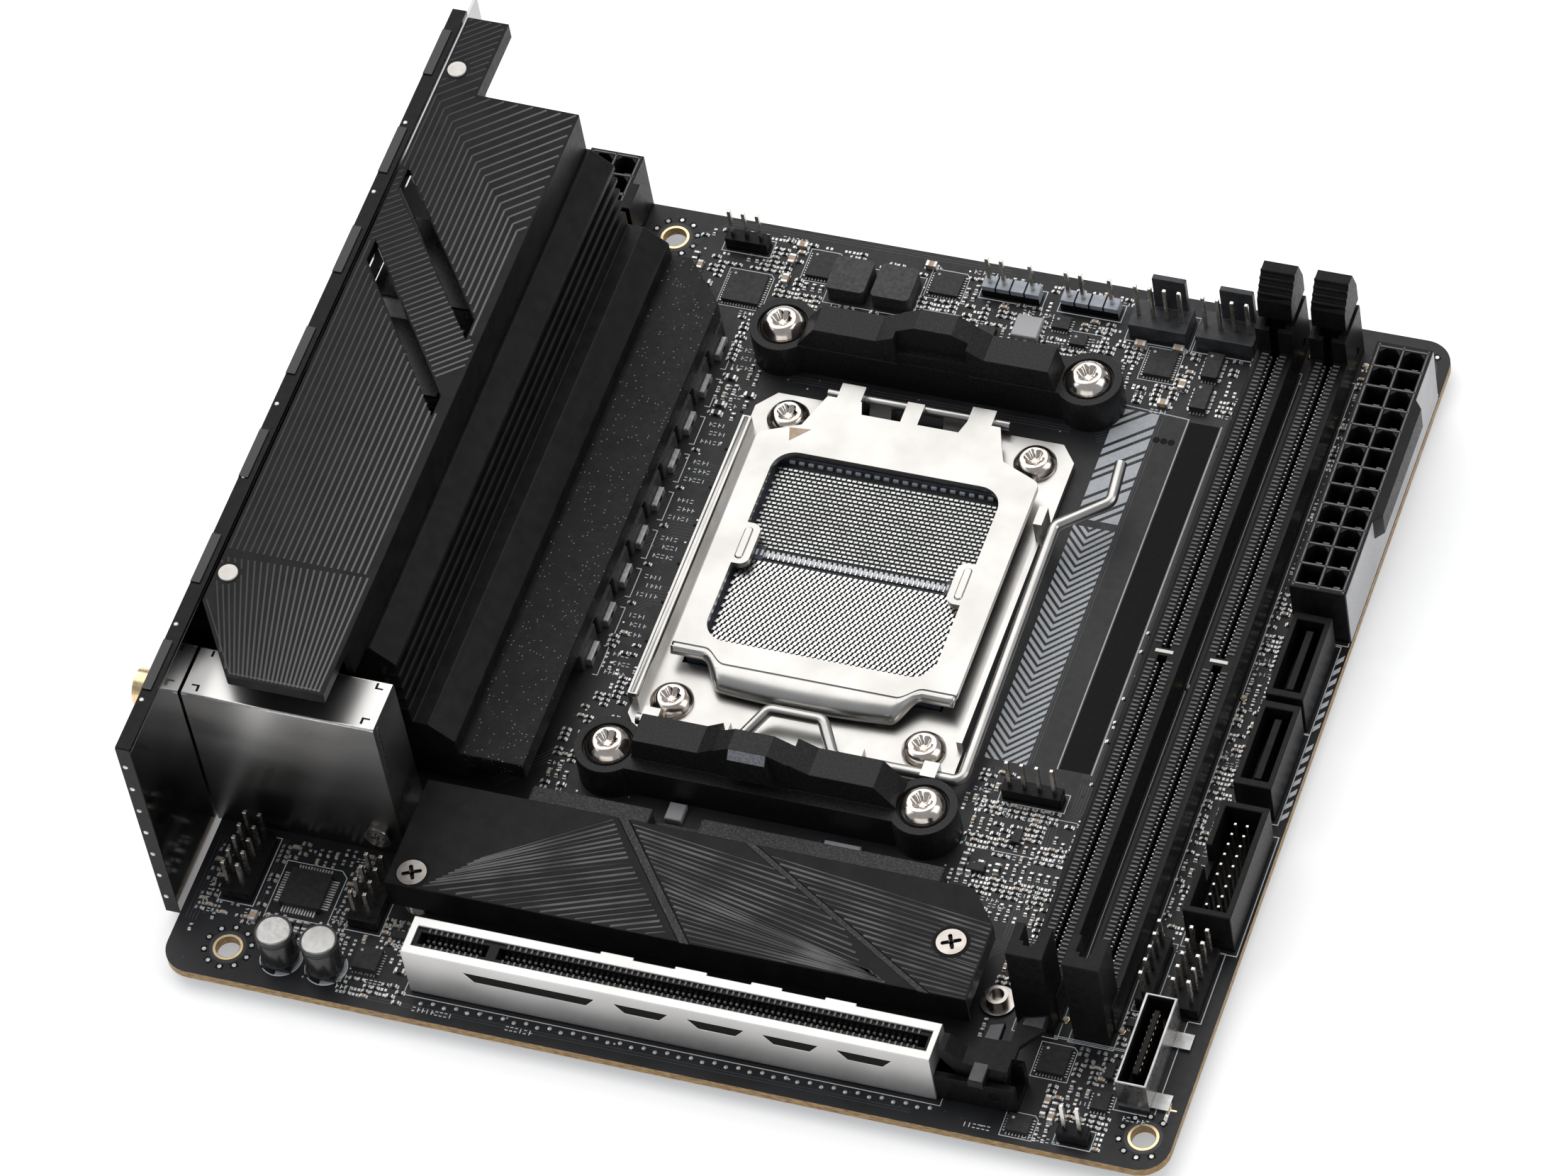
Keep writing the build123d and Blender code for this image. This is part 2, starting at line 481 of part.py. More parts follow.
# ---------------------------------------------------------------- cooler brackets
def cooler_bracket(s):
    """Moulded bar between two screws. s is +1 beyond the socket, -1 before it; the second is the first turned half round."""
    yc = SOCKET_Y + s * COOLER_DY / 2

    def along(a):                                     # a: along the bar from its middle
        return SOCKET_X - s * a

    def across(u):                                    # u: from the screw line towards the socket
        return yc - s * u

    def bar_profile(points, u0, u1):
        ya, yb = sorted((across(u0), across(u1)))
        with BuildSketch(side_y(yb)) as face:
            with BuildLine():
                Polyline(*[(along(a), z) for a, z in points], close=True)
            make_face()
        extrude(face.sketch, amount=yb - ya)

    with BuildSketch(BOARD.offset(0.0)) as bar:
        with Locations((SOCKET_X, yc)):
            Rectangle(COOLER_DX, 8.0)
        for sx in (-1, 1):
            with Locations((SOCKET_X + sx * COOLER_DX / 2, yc)):
                Circle(5.7)
    extrude(bar.sketch, amount=7.0)
    # marked blocks with the rises between them
    bar_profile([(-22.6, 6.0), (-21.6, 12.0), (-10.4, 12.0), (-7.4, 13.8), (-7.4, 6.0)], -1.7, 3.9)
    bar_profile([(5.4, 6.0), (5.4, 13.6), (8.7, 12.0), (19.7, 12.0), (22.2, 8.6), (23.2, 7.0), (23.2, 6.0)], -1.7, 3.9)
    bar_profile([(-8.0, 6.0), (-8.0, 9.4), (6.0, 9.4), (6.0, 6.0)], -1.7, 3.6)
    # clip lug, set outwards
    bar_profile([(-7.4, 6.0), (-7.4, 13.8), (-4.6, 15.2), (2.0, 15.2), (5.4, 13.6), (5.4, 6.0)], -1.9, 2.3)
    bar_profile([(-5.2, 8.6), (-4.6, 13.8), (2.0, 13.8), (2.8, 8.6)], -3.1, -1.7)
    xa, xb = sorted((along(-4.6), along(2.0)))
    with BuildSketch(side_x(xa)) as facet:
        with BuildLine():
            Polyline((across(-1.8), 13.8), (across(-3.1), 13.8), (across(-1.8), 15.2), close=True)
        make_face()
    extrude(facet.sketch, amount=xb - xa)
    for sx in (-1, 1):
        disc(SOCKET_X + sx * COOLER_DX / 2, yc, -1.0, 20.0, 1.8, mode=Mode.SUBTRACT)
        disc(SOCKET_X + sx * COOLER_DX / 2, yc, 6.2, 20.0, 4.3, mode=Mode.SUBTRACT)


with BuildPart(BOARD) as cooler_bracket_upper:
    cooler_bracket(1)
save(cooler_bracket_upper, "cooler_bracket_upper")
with BuildPart(BOARD) as cooler_bracket_lower:
    cooler_bracket(-1)
save(cooler_bracket_lower, "cooler_bracket_lower")

with BuildPart(BOARD) as cooler_bracket_screws:
    for (x, y) in COOLER:
        with BuildSketch(BOARD.offset(6.2)):
            with Locations((x, y)):
                Circle(3.9)
        extrude(amount=2.6)
        disc(x, y, -1.6, 6.2, 1.7)
    fillet(cooler_bracket_screws.edges().filter_by(GeomType.CIRCLE).group_by(Axis.Z)[-1], 1.1)
    for (x, y) in COOLER:
        with BuildSketch(BOARD.offset(9.0)):
            for a in (0, 60, 120):
                with Locations(Location((x, y, 0), (0, 0, a))):
                    SlotOverall(4.1, 1.4)
        extrude(amount=-1.7, mode=Mode.SUBTRACT)
save(cooler_bracket_screws, "cooler_bracket_screws")

with BuildPart(BOARD) as socket_backplate:
    with BuildSketch(BOARD.offset(-BOARD_T - 0.3 - 2.0)):
        with Locations((SOCKET_X, SOCKET_Y)):
            RectangleRounded(64.0, 100.0, 6.0)
            Rectangle(30.0, 34.0, mode=Mode.SUBTRACT)
        with Locations(*HOLES):
            Circle(0.5, mode=Mode.SUBTRACT)
    extrude(amount=2.0)
    for (x, y) in COOLER:
        disc(x, y, -BOARD_T - 0.3, -0.1, 2.5)
        disc(x, y, -BOARD_T - 3.0, 0.5, 1.75, mode=Mode.SUBTRACT)
    for (x, y) in ILM:
        disc(x, y, -BOARD_T - 0.3, -0.1, 2.2)
        disc(x, y, -BOARD_T - 3.0, 0.5, 1.75, mode=Mode.SUBTRACT)
save(socket_backplate, "socket_backplate")

with BuildPart(BOARD) as backplate_insulator:
    with BuildSketch(BOARD.offset(-BOARD_T - 0.3)):
        with Locations((SOCKET_X, SOCKET_Y)):
            RectangleRounded(65.0, 101.0, 6.0)
            Rectangle(30.0, 34.0, mode=Mode.SUBTRACT)
        with Locations(*(COOLER + ILM)):
            Circle(2.8, mode=Mode.SUBTRACT)
    extrude(amount=0.3)
save(backplate_insulator, "backplate_insulator")

# ---------------------------------------------------------------- M.2 bay
M2_SCREWS = [(38.1, 21.4), (127.2, 28.8)]
with BuildPart(BOARD) as m2_heatsink:
    with BuildSketch(BOARD.offset(5.7)):
        with BuildLine():
            Polyline((34.3, 18.6), (132.9, 18.6), (132.9, 33.2), (127.6, 39.6), (34.3, 39.6), close=True)
        make_face()
    extrude(amount=3.3)
    block(34.3, 132.9, 18.6, 19.5, 3.0, 6.0)          # front lip
    for (x, y) in M2_SCREWS:                          # countersunk screw seats
        disc(x, y, 3.0, 20.0, 1.2, mode=Mode.SUBTRACT)
        disc(x, y, 8.1, 20.0, 2.6, mode=Mode.SUBTRACT)
    # two slanted inlays cut across the face
    for ((xa, xb), w) in (((66.4, 85.2), 1.9), ((87.2, 125.9), 2.0)):
        with BuildSketch(BOARD.offset(9.0)):
            with BuildLine():
                Polyline((xa, 40.5), (xa + w, 40.5), (xb + w, 18.0), (xb, 18.0), close=True)
            make_face()
        extrude(amount=-0.35, mode=Mode.SUBTRACT)
save(m2_heatsink, "m2_heatsink")

with BuildPart(BOARD) as small_screws:                # M.2 cover screws and the radio can's screw
    for (x, y) in M2_SCREWS:
        disc(x, y, 8.1, 9.1, 2.45)
        disc(x, y, 4.0, 8.1, 1.1)
    for (x, y) in M2_SCREWS:
        with BuildSketch(BOARD.offset(9.2)):
            for a in (25, 115):
                with Locations(Location((x, y, 0), (0, 0, a))):
                    SlotOverall(3.4 if a == 25 else 3.0, 0.7)
        extrude(amount=-0.8, mode=Mode.SUBTRACT)
    with BuildSketch(side_y(30.0)):
        with Locations((28.6, 4.8)):
            Circle(2.3)
    extrude(amount=0.9)
    with BuildSketch(side_y(29.0)):
        for a in (0, 90):
            with Locations(Location((28.6, 4.8, 0), (0, 0, a))):
                SlotOverall(2.8, 0.6)
    extrude(amount=-0.6, mode=Mode.SUBTRACT)
save(small_screws, "small_screws")

with BuildPart(BOARD) as m2_standoffs:
    for (x, y, top) in ((38.1, 21.4, 5.7), (127.2, 28.8, 5.7), (135.2, 25.2, 2.2), (121.6, 29.6, 2.7)):
        disc(x, y, 0.0, 0.5, 2.9 if top < 2.5 else 2.4)
        disc(x, y, 0.5, top, 1.8)
        disc(x, y, 0.8, top + 1, 1.2, mode=Mode.SUBTRACT)
save(m2_standoffs, "m2_standoffs")

with BuildPart(BOARD) as m2_connector:
    block(41.6, 46.8, 20.8, 37.8, 0.0, 4.2)
    block(44.6, 47.4, 21.6, 37.0, 1.6, 3.0, mode=Mode.SUBTRACT)
save(m2_connector, "m2_connector")

with BuildPart(BOARD) as chipset:
    block(84.0, 107.0, 20.6, 38.6, 0.0, 0.8)
    block(90.6, 99.4, 25.0, 33.4, 0.8, 1.5)
save(chipset, "chipset")

with BuildPart(BOARD) as chipset_heatsink:
    block(50.2, 118.8, 20.8, 44.6, 1.5, 2.4)
    block(50.2, 71.0, 40.2, 44.6, 0.9, 5.6)
    block(79.4, 120.8, 40.2, 44.6, 0.9, 5.6)
save(chipset_heatsink, "chipset_heatsink")

# ---------------------------------------------------------------- data headers
for k, (y0, y1) in enumerate(((69.2, 86.2), (87.4, 104.4))):
    with BuildPart(BOARD) as sata:                    # upright SATA data port
        block(161.6, 168.0, y0, y1, 0.0, 8.6)
        block(162.5, 167.1, y0 + 1.4, y1 - 1.4, 2.0, 20.0, mode=Mode.SUBTRACT)
        block(164.3, 165.5, y0 + 2.4, y1 - 2.4, 2.0, 7.4)
    save(sata, f"sata_port_{k + 1}")

with BuildPart(BOARD) as usb3_header:                 # 19-pin shrouded header
    block(161.0, 169.0, 43.2, 65.4, 0.0, 9.0)
    block(162.0, 168.0, 44.4, 64.2, 2.0, 20.0, mode=Mode.SUBTRACT)
    block(160.0, 162.5, 52.3, 56.3, 4.5, 20.0, mode=Mode.SUBTRACT)
save(usb3_header, "usb3_header")

with BuildPart(BOARD) as usb_c_header:                # front panel socket in a steel shell
    block(159.6, 164.8, 10.6, 28.0, 0.0, 7.2)
    block(160.0, 164.4, 11.0, 27.6, 1.4, 20.0, mode=Mode.SUBTRACT)
    block(161.8, 162.6, 13.2, 25.4, 1.4, 6.6)
    block(164.8, 167.6, 11.4, 14.4, 0.0, 0.6)
    block(164.8, 167.6, 23.2, 26.2, 0.0, 0.6)
save(usb_c_header, "usb_c_header")

# header bases: (x centre, y centre, columns along X, rows along Y)
H_TOP = (46.2, 164.6, 3, 1)
H_AUDIO = (8.2, 21.6, 2, 5)
H_PANEL = (158.0, 35.6, 1, 5)
H_USB2 = (164.6, 35.6, 2, 5)
H_CLEAR = (154.6, 3.4, 2, 1)
H_SERIAL = (128.8, 64.6, 4, 1)
H_AUX = (30.6, 19.6, 2, 4)
BLACK_HEADERS = [H_TOP, H_AUDIO, H_PANEL, H_USB2, H_CLEAR, H_SERIAL, H_AUX]
LED_HEADERS = [(93.8, 164.2, 4, 1), (107.8, 164.2, 4, 1)]
FAN_HEADERS = [(120.8, 162.6, 4, 1), (132.6, 162.6, 4, 1)]

with BuildPart(BOARD) as pin_headers:
    for (x, y, nx, ny) in BLACK_HEADERS:
        block(x - nx * PITCH / 2, x + nx * PITCH / 2, y - ny * PITCH / 2, y + ny * PITCH / 2, 0.0, 2.5)
save(pin_headers, "pin_headers")

with BuildPart(BOARD) as led_headers:
    for (x, y, nx, ny) in LED_HEADERS:
        block(x - nx * PITCH / 2, x + nx * PITCH / 2, y - ny * PITCH / 2, y + ny * PITCH / 2, 0.0, 2.5)
save(led_headers, "led_headers")

with BuildPart(BOARD) as fan_headers:
    for (x, y, nx, ny) in FAN_HEADERS:
        block(x - 5.1, x + 5.1, y - 2.9, y + 2.9, 0.0, 3.4)
        block(x - 1.6, x + 4.2, y + 1.9, y + 2.9, 3.4, 10.8)
save(fan_headers, "fan_headers")

with BuildPart(BOARD) as header_pins:
    for (x, y, nx, ny) in BLACK_HEADERS:
        with Locations((x, y, 2.5)):
            with GridLocations(PITCH, PITCH, nx, ny):
                Box(PIN, PIN, 6.2, align=BASE)
    for (x, y, nx, ny) in LED_HEADERS:
        for k in (0, 1, 3):
            with Locations((x + (k - 1.5) * PITCH, y, 2.5)):
                Box(PIN, PIN, 6.2, align=BASE)
    for (x, y, nx, ny) in FAN_HEADERS:
        with Locations((x, y - 0.4, 3.4)):
            with GridLocations(PITCH, PITCH, 4, 1):
                Box(PIN, PIN, 7.6, align=BASE)
    with Locations((165.0, 54.3, 2.0)):
        with GridLocations(2.0, 2.0, 2, 9):
            Box(0.5, 0.5, 5.4, align=BASE)
save(header_pins, "header_pins")

# ---------------------------------------------------------------- board components
with BuildPart(BOARD) as audio_capacitors:
    for (x, y) in ((19.5, 6.2), (27.3, 6.2)):
        block(x - 2.6, x + 2.6, y - 2.6, y + 2.6, 0.0, 0.7)
        disc(x, y, 0.7, 7.7, 3.1)
save(audio_capacitors, "audio_capacitors")

with BuildPart(BOARD) as audio_codec:
    block(15.6, 22.6, 15.8, 22.8, 0.15, 1.5)
    with Locations((19.1, 19.3, 0.0)):
        with GridLocations(0.5, 8.2, 12, 2):
            Box(0.24, 1.2, 0.5, align=BASE)
        with GridLocations(8.2, 0.5, 2, 12):
            Box(1.2, 0.24, 0.5, align=BASE)
save(audio_codec, "audio_codec")

CHIPS = [(45.4, 52.0, 152.0, 158.6, 0.9), (57.8, 62.2, 160.2, 165.6, 0.8), (79.6, 84.8, 161.2, 166.0, 0.8),
         (102.4, 105.4, 158.4, 161.0, 0.9), (106.4, 109.2, 155.6, 158.0, 0.9), (120.4, 125.2, 152.2, 157.8, 0.9),
         (130.2, 133.0, 153.4, 158.6, 1.4), (130.2, 133.0, 146.6, 151.8, 1.4), (31.6, 35.8, 6.6, 10.8, 1.4),
         (145.0, 149.6, 13.8, 19.0, 0.9), (143.6, 147.4, 2.0, 5.2, 0.9), (155.4, 158.2, 9.0, 12.4, 0.9)]
with BuildPart(BOARD) as controller_chips:
    for (x0, x1, y0, y1, h) in CHIPS:
        block(x0, x1, y0, y1, 0.0, h)
save(controller_chips, "controller_chips")

with BuildPart(BOARD) as power_inductors:
    for x in (66.4, 74.4):
        block(x - 3.4, x + 3.4, 156.4, 163.6, 0.0, 3.2)
    fillet(power_inductors.edges().filter_by(Axis.Z), 0.8)
save(power_inductors, "power_inductors")


# ---------------------------------------------------------------- rear sockets
def usb_stack(yc, w):
    """Steel-shelled stack with two wide mouths facing -X."""
    block(-0.9, 17.6, yc - w / 2, yc + w / 2, 0.0, 30.6)
    for zc in (5.2, 13.0, 25.2):
        block(-2.0, 9.0, yc - 6.6, yc + 6.6, zc - 2.8, zc + 2.8, mode=Mode.SUBTRACT)
        block(-0.6, 9.0, yc - 5.6, yc + 5.6, zc - 0.2, zc + 1.7)


with BuildPart(BOARD) as usb_stack_1:
    usb_stack(66.8, 14.6)
save(usb_stack_1, "usb_stack_1")
with BuildPart(BOARD) as usb_stack_2:
    usb_stack(106.5, 14.6)
save(usb_stack_2, "usb_stack_2")

with BuildPart(BOARD) as lan_port:                    # network jack over two USB mouths
    block(-0.9, 20.4, 78.2, 94.8, 0.0, 30.6)
    for zc in (5.2, 13.0):
        block(-2.0, 9.0, 79.9, 93.1, zc - 2.8, zc + 2.8, mode=Mode.SUBTRACT)
        block(-0.6, 9.0, 80.9, 92.1, zc - 0.2, zc + 1.7)
    block(-2.0, 12.0, 80.6, 92.4, 17.8, 26.2, mode=Mode.SUBTRACT)
    block(-2.0, 12.0, 83.4, 89.6, 26.0, 28.6, mode=Mode.SUBTRACT)
save(lan_port, "lan_port")

with BuildPart(BOARD) as display_ports:
    block(-0.9, 17.0, 117.9, 135.1, 0.0, 30.6)
    block(-2.0, 9.0, 119.2, 133.8, 4.6, 10.4, mode=Mode.SUBTRACT)
    block(-0.4, 9.0, 121.4, 131.6, 6.8, 8.2)
    block(-2.0, 9.0, 118.6, 134.4, 19.2, 25.6, mode=Mode.SUBTRACT)
    block(-0.4, 9.0, 120.8, 132.2, 21.6, 23.2)
save(display_ports, "display_ports")

with BuildPart(BOARD) as audio_jacks:
    block(-0.9, 13.0, 43.2, 55.8, 0.0, 36.0)
    for zc in (5.6, 18.4, 31.2):
        with BuildSketch(side_x(-2.4)):
            with Locations((49.5, zc)):
                Circle(3.4)
        extrude(amount=2.0)
        with BuildSketch(side_x(-3.0)):
            with Locations((49.5, zc)):
                Circle(1.8)
        extrude(amount=14.0, mode=Mode.SUBTRACT)
save(audio_jacks, "audio_jacks")

with BuildPart(BOARD) as antenna_jacks:
    for zc in (26.0, 12.5):
        with BuildSketch(side_x(-11.5)):
            with Locations((35.2, zc)):
                Circle(3.05)
                Circle(0.6, mode=Mode.SUBTRACT)
        extrude(amount=15.5)
        with BuildSketch(side_x(-3.2)):
            with Locations((35.2, zc)):
                RegularPolygon(4.4, 6)
                Circle(3.05, mode=Mode.SUBTRACT)
        extrude(amount=1.8)
save(antenna_jacks, "antenna_jacks")

# ---------------------------------------------------------------- radio module
with BuildPart(BOARD) as wifi_shield:
    block(-0.6, 32.6, 30.0, 39.7, 0.0, 34.2)
    block(-0.2, 32.2, 30.4, 39.3, -1.0, 33.8, mode=Mode.SUBTRACT)
    block(-1.0, 1.0, 31.4, 38.6, -1.0, 31.8, mode=Mode.SUBTRACT)
    fillet(wifi_shield.edges().filter_by(Axis.X).group_by(Axis.Z)[-1], 0.35)
save(wifi_shield, "wifi_shield")

with BuildPart(BOARD) as wifi_module:
    block(8.0, 30.0, 33.6, 38.6, 0.0, 4.2)             # upright card socket
    block(8.0, 30.0, 35.2, 36.0, 4.2, 33.0)            # card
    block(9.4, 28.6, 33.9, 35.2, 8.0, 24.0)            # radio can
save(wifi_module, "wifi_module")

# ---------------------------------------------------------------- button and cell
with BuildPart(BOARD) as flashback_switch:
    block(0.6, 7.0, 141.8, 148.2, 0.0, 9.4)
    block(0.0, 4.2, 143.0, 147.0, 4.0, 8.0, mode=Mode.SUBTRACT)
save(flashback_switch, "flashback_switch")

with BuildPart(BOARD) as flashback_button:
    with BuildSketch(side_x(-2.6)):
        with Locations((145.0, 6.0)):
            Circle(1.7)
    extrude(amount=5.4)
    fillet(flashback_button.edges().filter_by(GeomType.CIRCLE).group_by(Axis.X)[0], 0.4)
save(flashback_button, "flashback_button")

with BuildPart(BOARD) as cmos_battery:                # coin cell in its sleeve, on edge by the sockets
    with BuildSketch(side_x(17.9)):
        with Locations((117.0, 11.2)):
            Circle(10.6)
    extrude(amount=3.6)
save(cmos_battery, "cmos_battery")
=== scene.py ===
"""Looks for the small motherboard: materials, surface detail and light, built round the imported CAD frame.

Numbers are board millimetres: X = 0 at the rear edge, Y = 0 at the expansion-slot edge, Z = 0 on the
component side. The frame's origin is the datum mounting hole, so row frame = (X - 33.02, Y - 163.65, Z) / 1000.
"""
import math
import random

import bmesh
import bpy
import numpy as np
from mathutils import Matrix, Vector


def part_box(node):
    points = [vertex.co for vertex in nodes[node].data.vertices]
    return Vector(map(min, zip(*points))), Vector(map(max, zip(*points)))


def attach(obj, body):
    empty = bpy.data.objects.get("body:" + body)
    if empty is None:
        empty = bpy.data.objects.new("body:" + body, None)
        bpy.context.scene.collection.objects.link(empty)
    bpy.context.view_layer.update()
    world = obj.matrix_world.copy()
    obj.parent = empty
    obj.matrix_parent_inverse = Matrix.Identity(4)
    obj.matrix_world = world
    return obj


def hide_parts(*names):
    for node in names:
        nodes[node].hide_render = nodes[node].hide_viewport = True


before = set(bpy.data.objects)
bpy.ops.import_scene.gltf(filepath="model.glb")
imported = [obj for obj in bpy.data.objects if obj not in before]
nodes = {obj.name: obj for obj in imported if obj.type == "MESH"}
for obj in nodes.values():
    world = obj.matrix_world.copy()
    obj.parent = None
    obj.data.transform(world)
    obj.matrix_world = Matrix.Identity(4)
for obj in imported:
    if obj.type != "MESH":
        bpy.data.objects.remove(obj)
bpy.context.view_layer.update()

scene = bpy.context.scene
OX, OY = 33.02, 163.65
rng = random.Random(7)


def row(p):
    """Board millimetres to the row frame in metres."""
    return ((p[0] - OX) / 1000.0, (p[1] - OY) / 1000.0, p[2] / 1000.0)


def board_box(node):
    """A CAD node's box in board millimetres: x0, x1, y0, y1, z0, z1."""
    lo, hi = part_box(node)
    return (lo.x * 1000 + OX, hi.x * 1000 + OX, lo.y * 1000 + OY, hi.y * 1000 + OY, lo.z * 1000, hi.z * 1000)


# ------------------------------------------------------------------ materials
def material(name, base, rough, metal=0.0, spec=0.5, tone=None, tone_scale=0.4, rough_var=0.0, rough_scale=1.5,
             bump=0.0, bump_scale=3.0, bump_kind="noise", coat=0.0, coat_rough=0.1, stretch=(1, 1, 1), spec_tint=None,
             detail=3.0, contrast=(0.35, 0.65)):
    """Principled surface whose colour, roughness and relief vary with the place on the part, in millimetres."""
    m = bpy.data.materials.new(name)
    m.use_nodes = True
    m.diffuse_color = (*base, 1.0)
    nt = m.node_tree
    b = nt.nodes["Principled BSDF"]
    b.inputs["Base Color"].default_value = (*base, 1.0)
    b.inputs["Roughness"].default_value = rough
    b.inputs["Metallic"].default_value = metal
    b.inputs["Specular IOR Level"].default_value = spec
    if coat:
        b.inputs["Coat Weight"].default_value = coat
        b.inputs["Coat Roughness"].default_value = coat_rough
    tc = nt.nodes.new("ShaderNodeTexCoord")
    mp = nt.nodes.new("ShaderNodeMapping")
    mp.inputs["Scale"].default_value = (1000 * stretch[0], 1000 * stretch[1], 1000 * stretch[2])
    nt.links.new(tc.outputs["Object"], mp.inputs["Vector"])

    def noise(scale, det=detail):
        n = nt.nodes.new("ShaderNodeTexNoise")
        n.inputs["Scale"].default_value = scale
        n.inputs["Detail"].default_value = det
        nt.links.new(mp.outputs["Vector"], n.inputs["Vector"])
        return n

    tone = tone or tuple(min(1.0, c * 1.25 + 0.004) for c in base)
    n = noise(tone_scale)
    ramp = nt.nodes.new("ShaderNodeValToRGB")
    ramp.color_ramp.elements[0].position = contrast[0]
    ramp.color_ramp.elements[1].position = contrast[1]
    ramp.color_ramp.elements[0].color = (*base, 1.0)
    ramp.color_ramp.elements[1].color = (*tone, 1.0)
    nt.links.new(n.outputs["Fac"], ramp.inputs["Fac"])
    nt.links.new(ramp.outputs["Color"], b.inputs["Base Color"])
    if rough_var:
        n2 = noise(rough_scale)
        mr = nt.nodes.new("ShaderNodeMapRange")
        mr.inputs["From Min"].default_value = 0.3
        mr.inputs["From Max"].default_value = 0.7
        mr.inputs["To Min"].default_value = max(0.03, rough - rough_var)
        mr.inputs["To Max"].default_value = min(1.0, rough + rough_var)
        nt.links.new(n2.outputs["Fac"], mr.inputs["Value"])
        nt.links.new(mr.outputs["Result"], b.inputs["Roughness"])
    if bump:
        if bump_kind == "voronoi":
            src = nt.nodes.new("ShaderNodeTexVoronoi")
            src.inputs["Scale"].default_value = bump_scale
            nt.links.new(mp.outputs["Vector"], src.inputs["Vector"])
            out = src.outputs["Distance"]
        else:
            out = noise(bump_scale, 2.0).outputs["Fac"]
        bp = nt.nodes.new("ShaderNodeBump")
        bp.inputs["Strength"].default_value = 1.0
        bp.inputs["Distance"].default_value = bump / 1000.0
        nt.links.new(out, bp.inputs["Height"])
        nt.links.new(bp.outputs["Normal"], b.inputs["Normal"])
    return m


def tint_by_position(m, axis, lo, hi, near, far):
    """Blends a second colour in along one axis of the board, lo and hi in board millimetres."""
    nt = m.node_tree
    b = nt.nodes["Principled BSDF"]
    tc = next(n for n in nt.nodes if n.type == "TEX_COORD")
    sep = nt.nodes.new("ShaderNodeSeparateXYZ")
    nt.links.new(tc.outputs["Object"], sep.inputs["Vector"])
    off = {"X": OX, "Y": OY, "Z": 0.0}[axis]
    mr = nt.nodes.new("ShaderNodeMapRange")
    mr.interpolation_type = "SMOOTHSTEP"
    mr.inputs["From Min"].default_value = (lo - off) / 1000.0
    mr.inputs["From Max"].default_value = (hi - off) / 1000.0
    nt.links.new(sep.outputs[axis], mr.inputs["Value"])
    ramp = nt.nodes.new("ShaderNodeValToRGB")
    ramp.color_ramp.elements[0].color = (*near, 1.0)
    ramp.color_ramp.elements[1].color = (*far, 1.0)
    nt.links.new(mr.outputs["Result"], ramp.inputs["Fac"])
    nt.links.new(ramp.outputs["Color"], b.inputs["Base Color"])
    return m


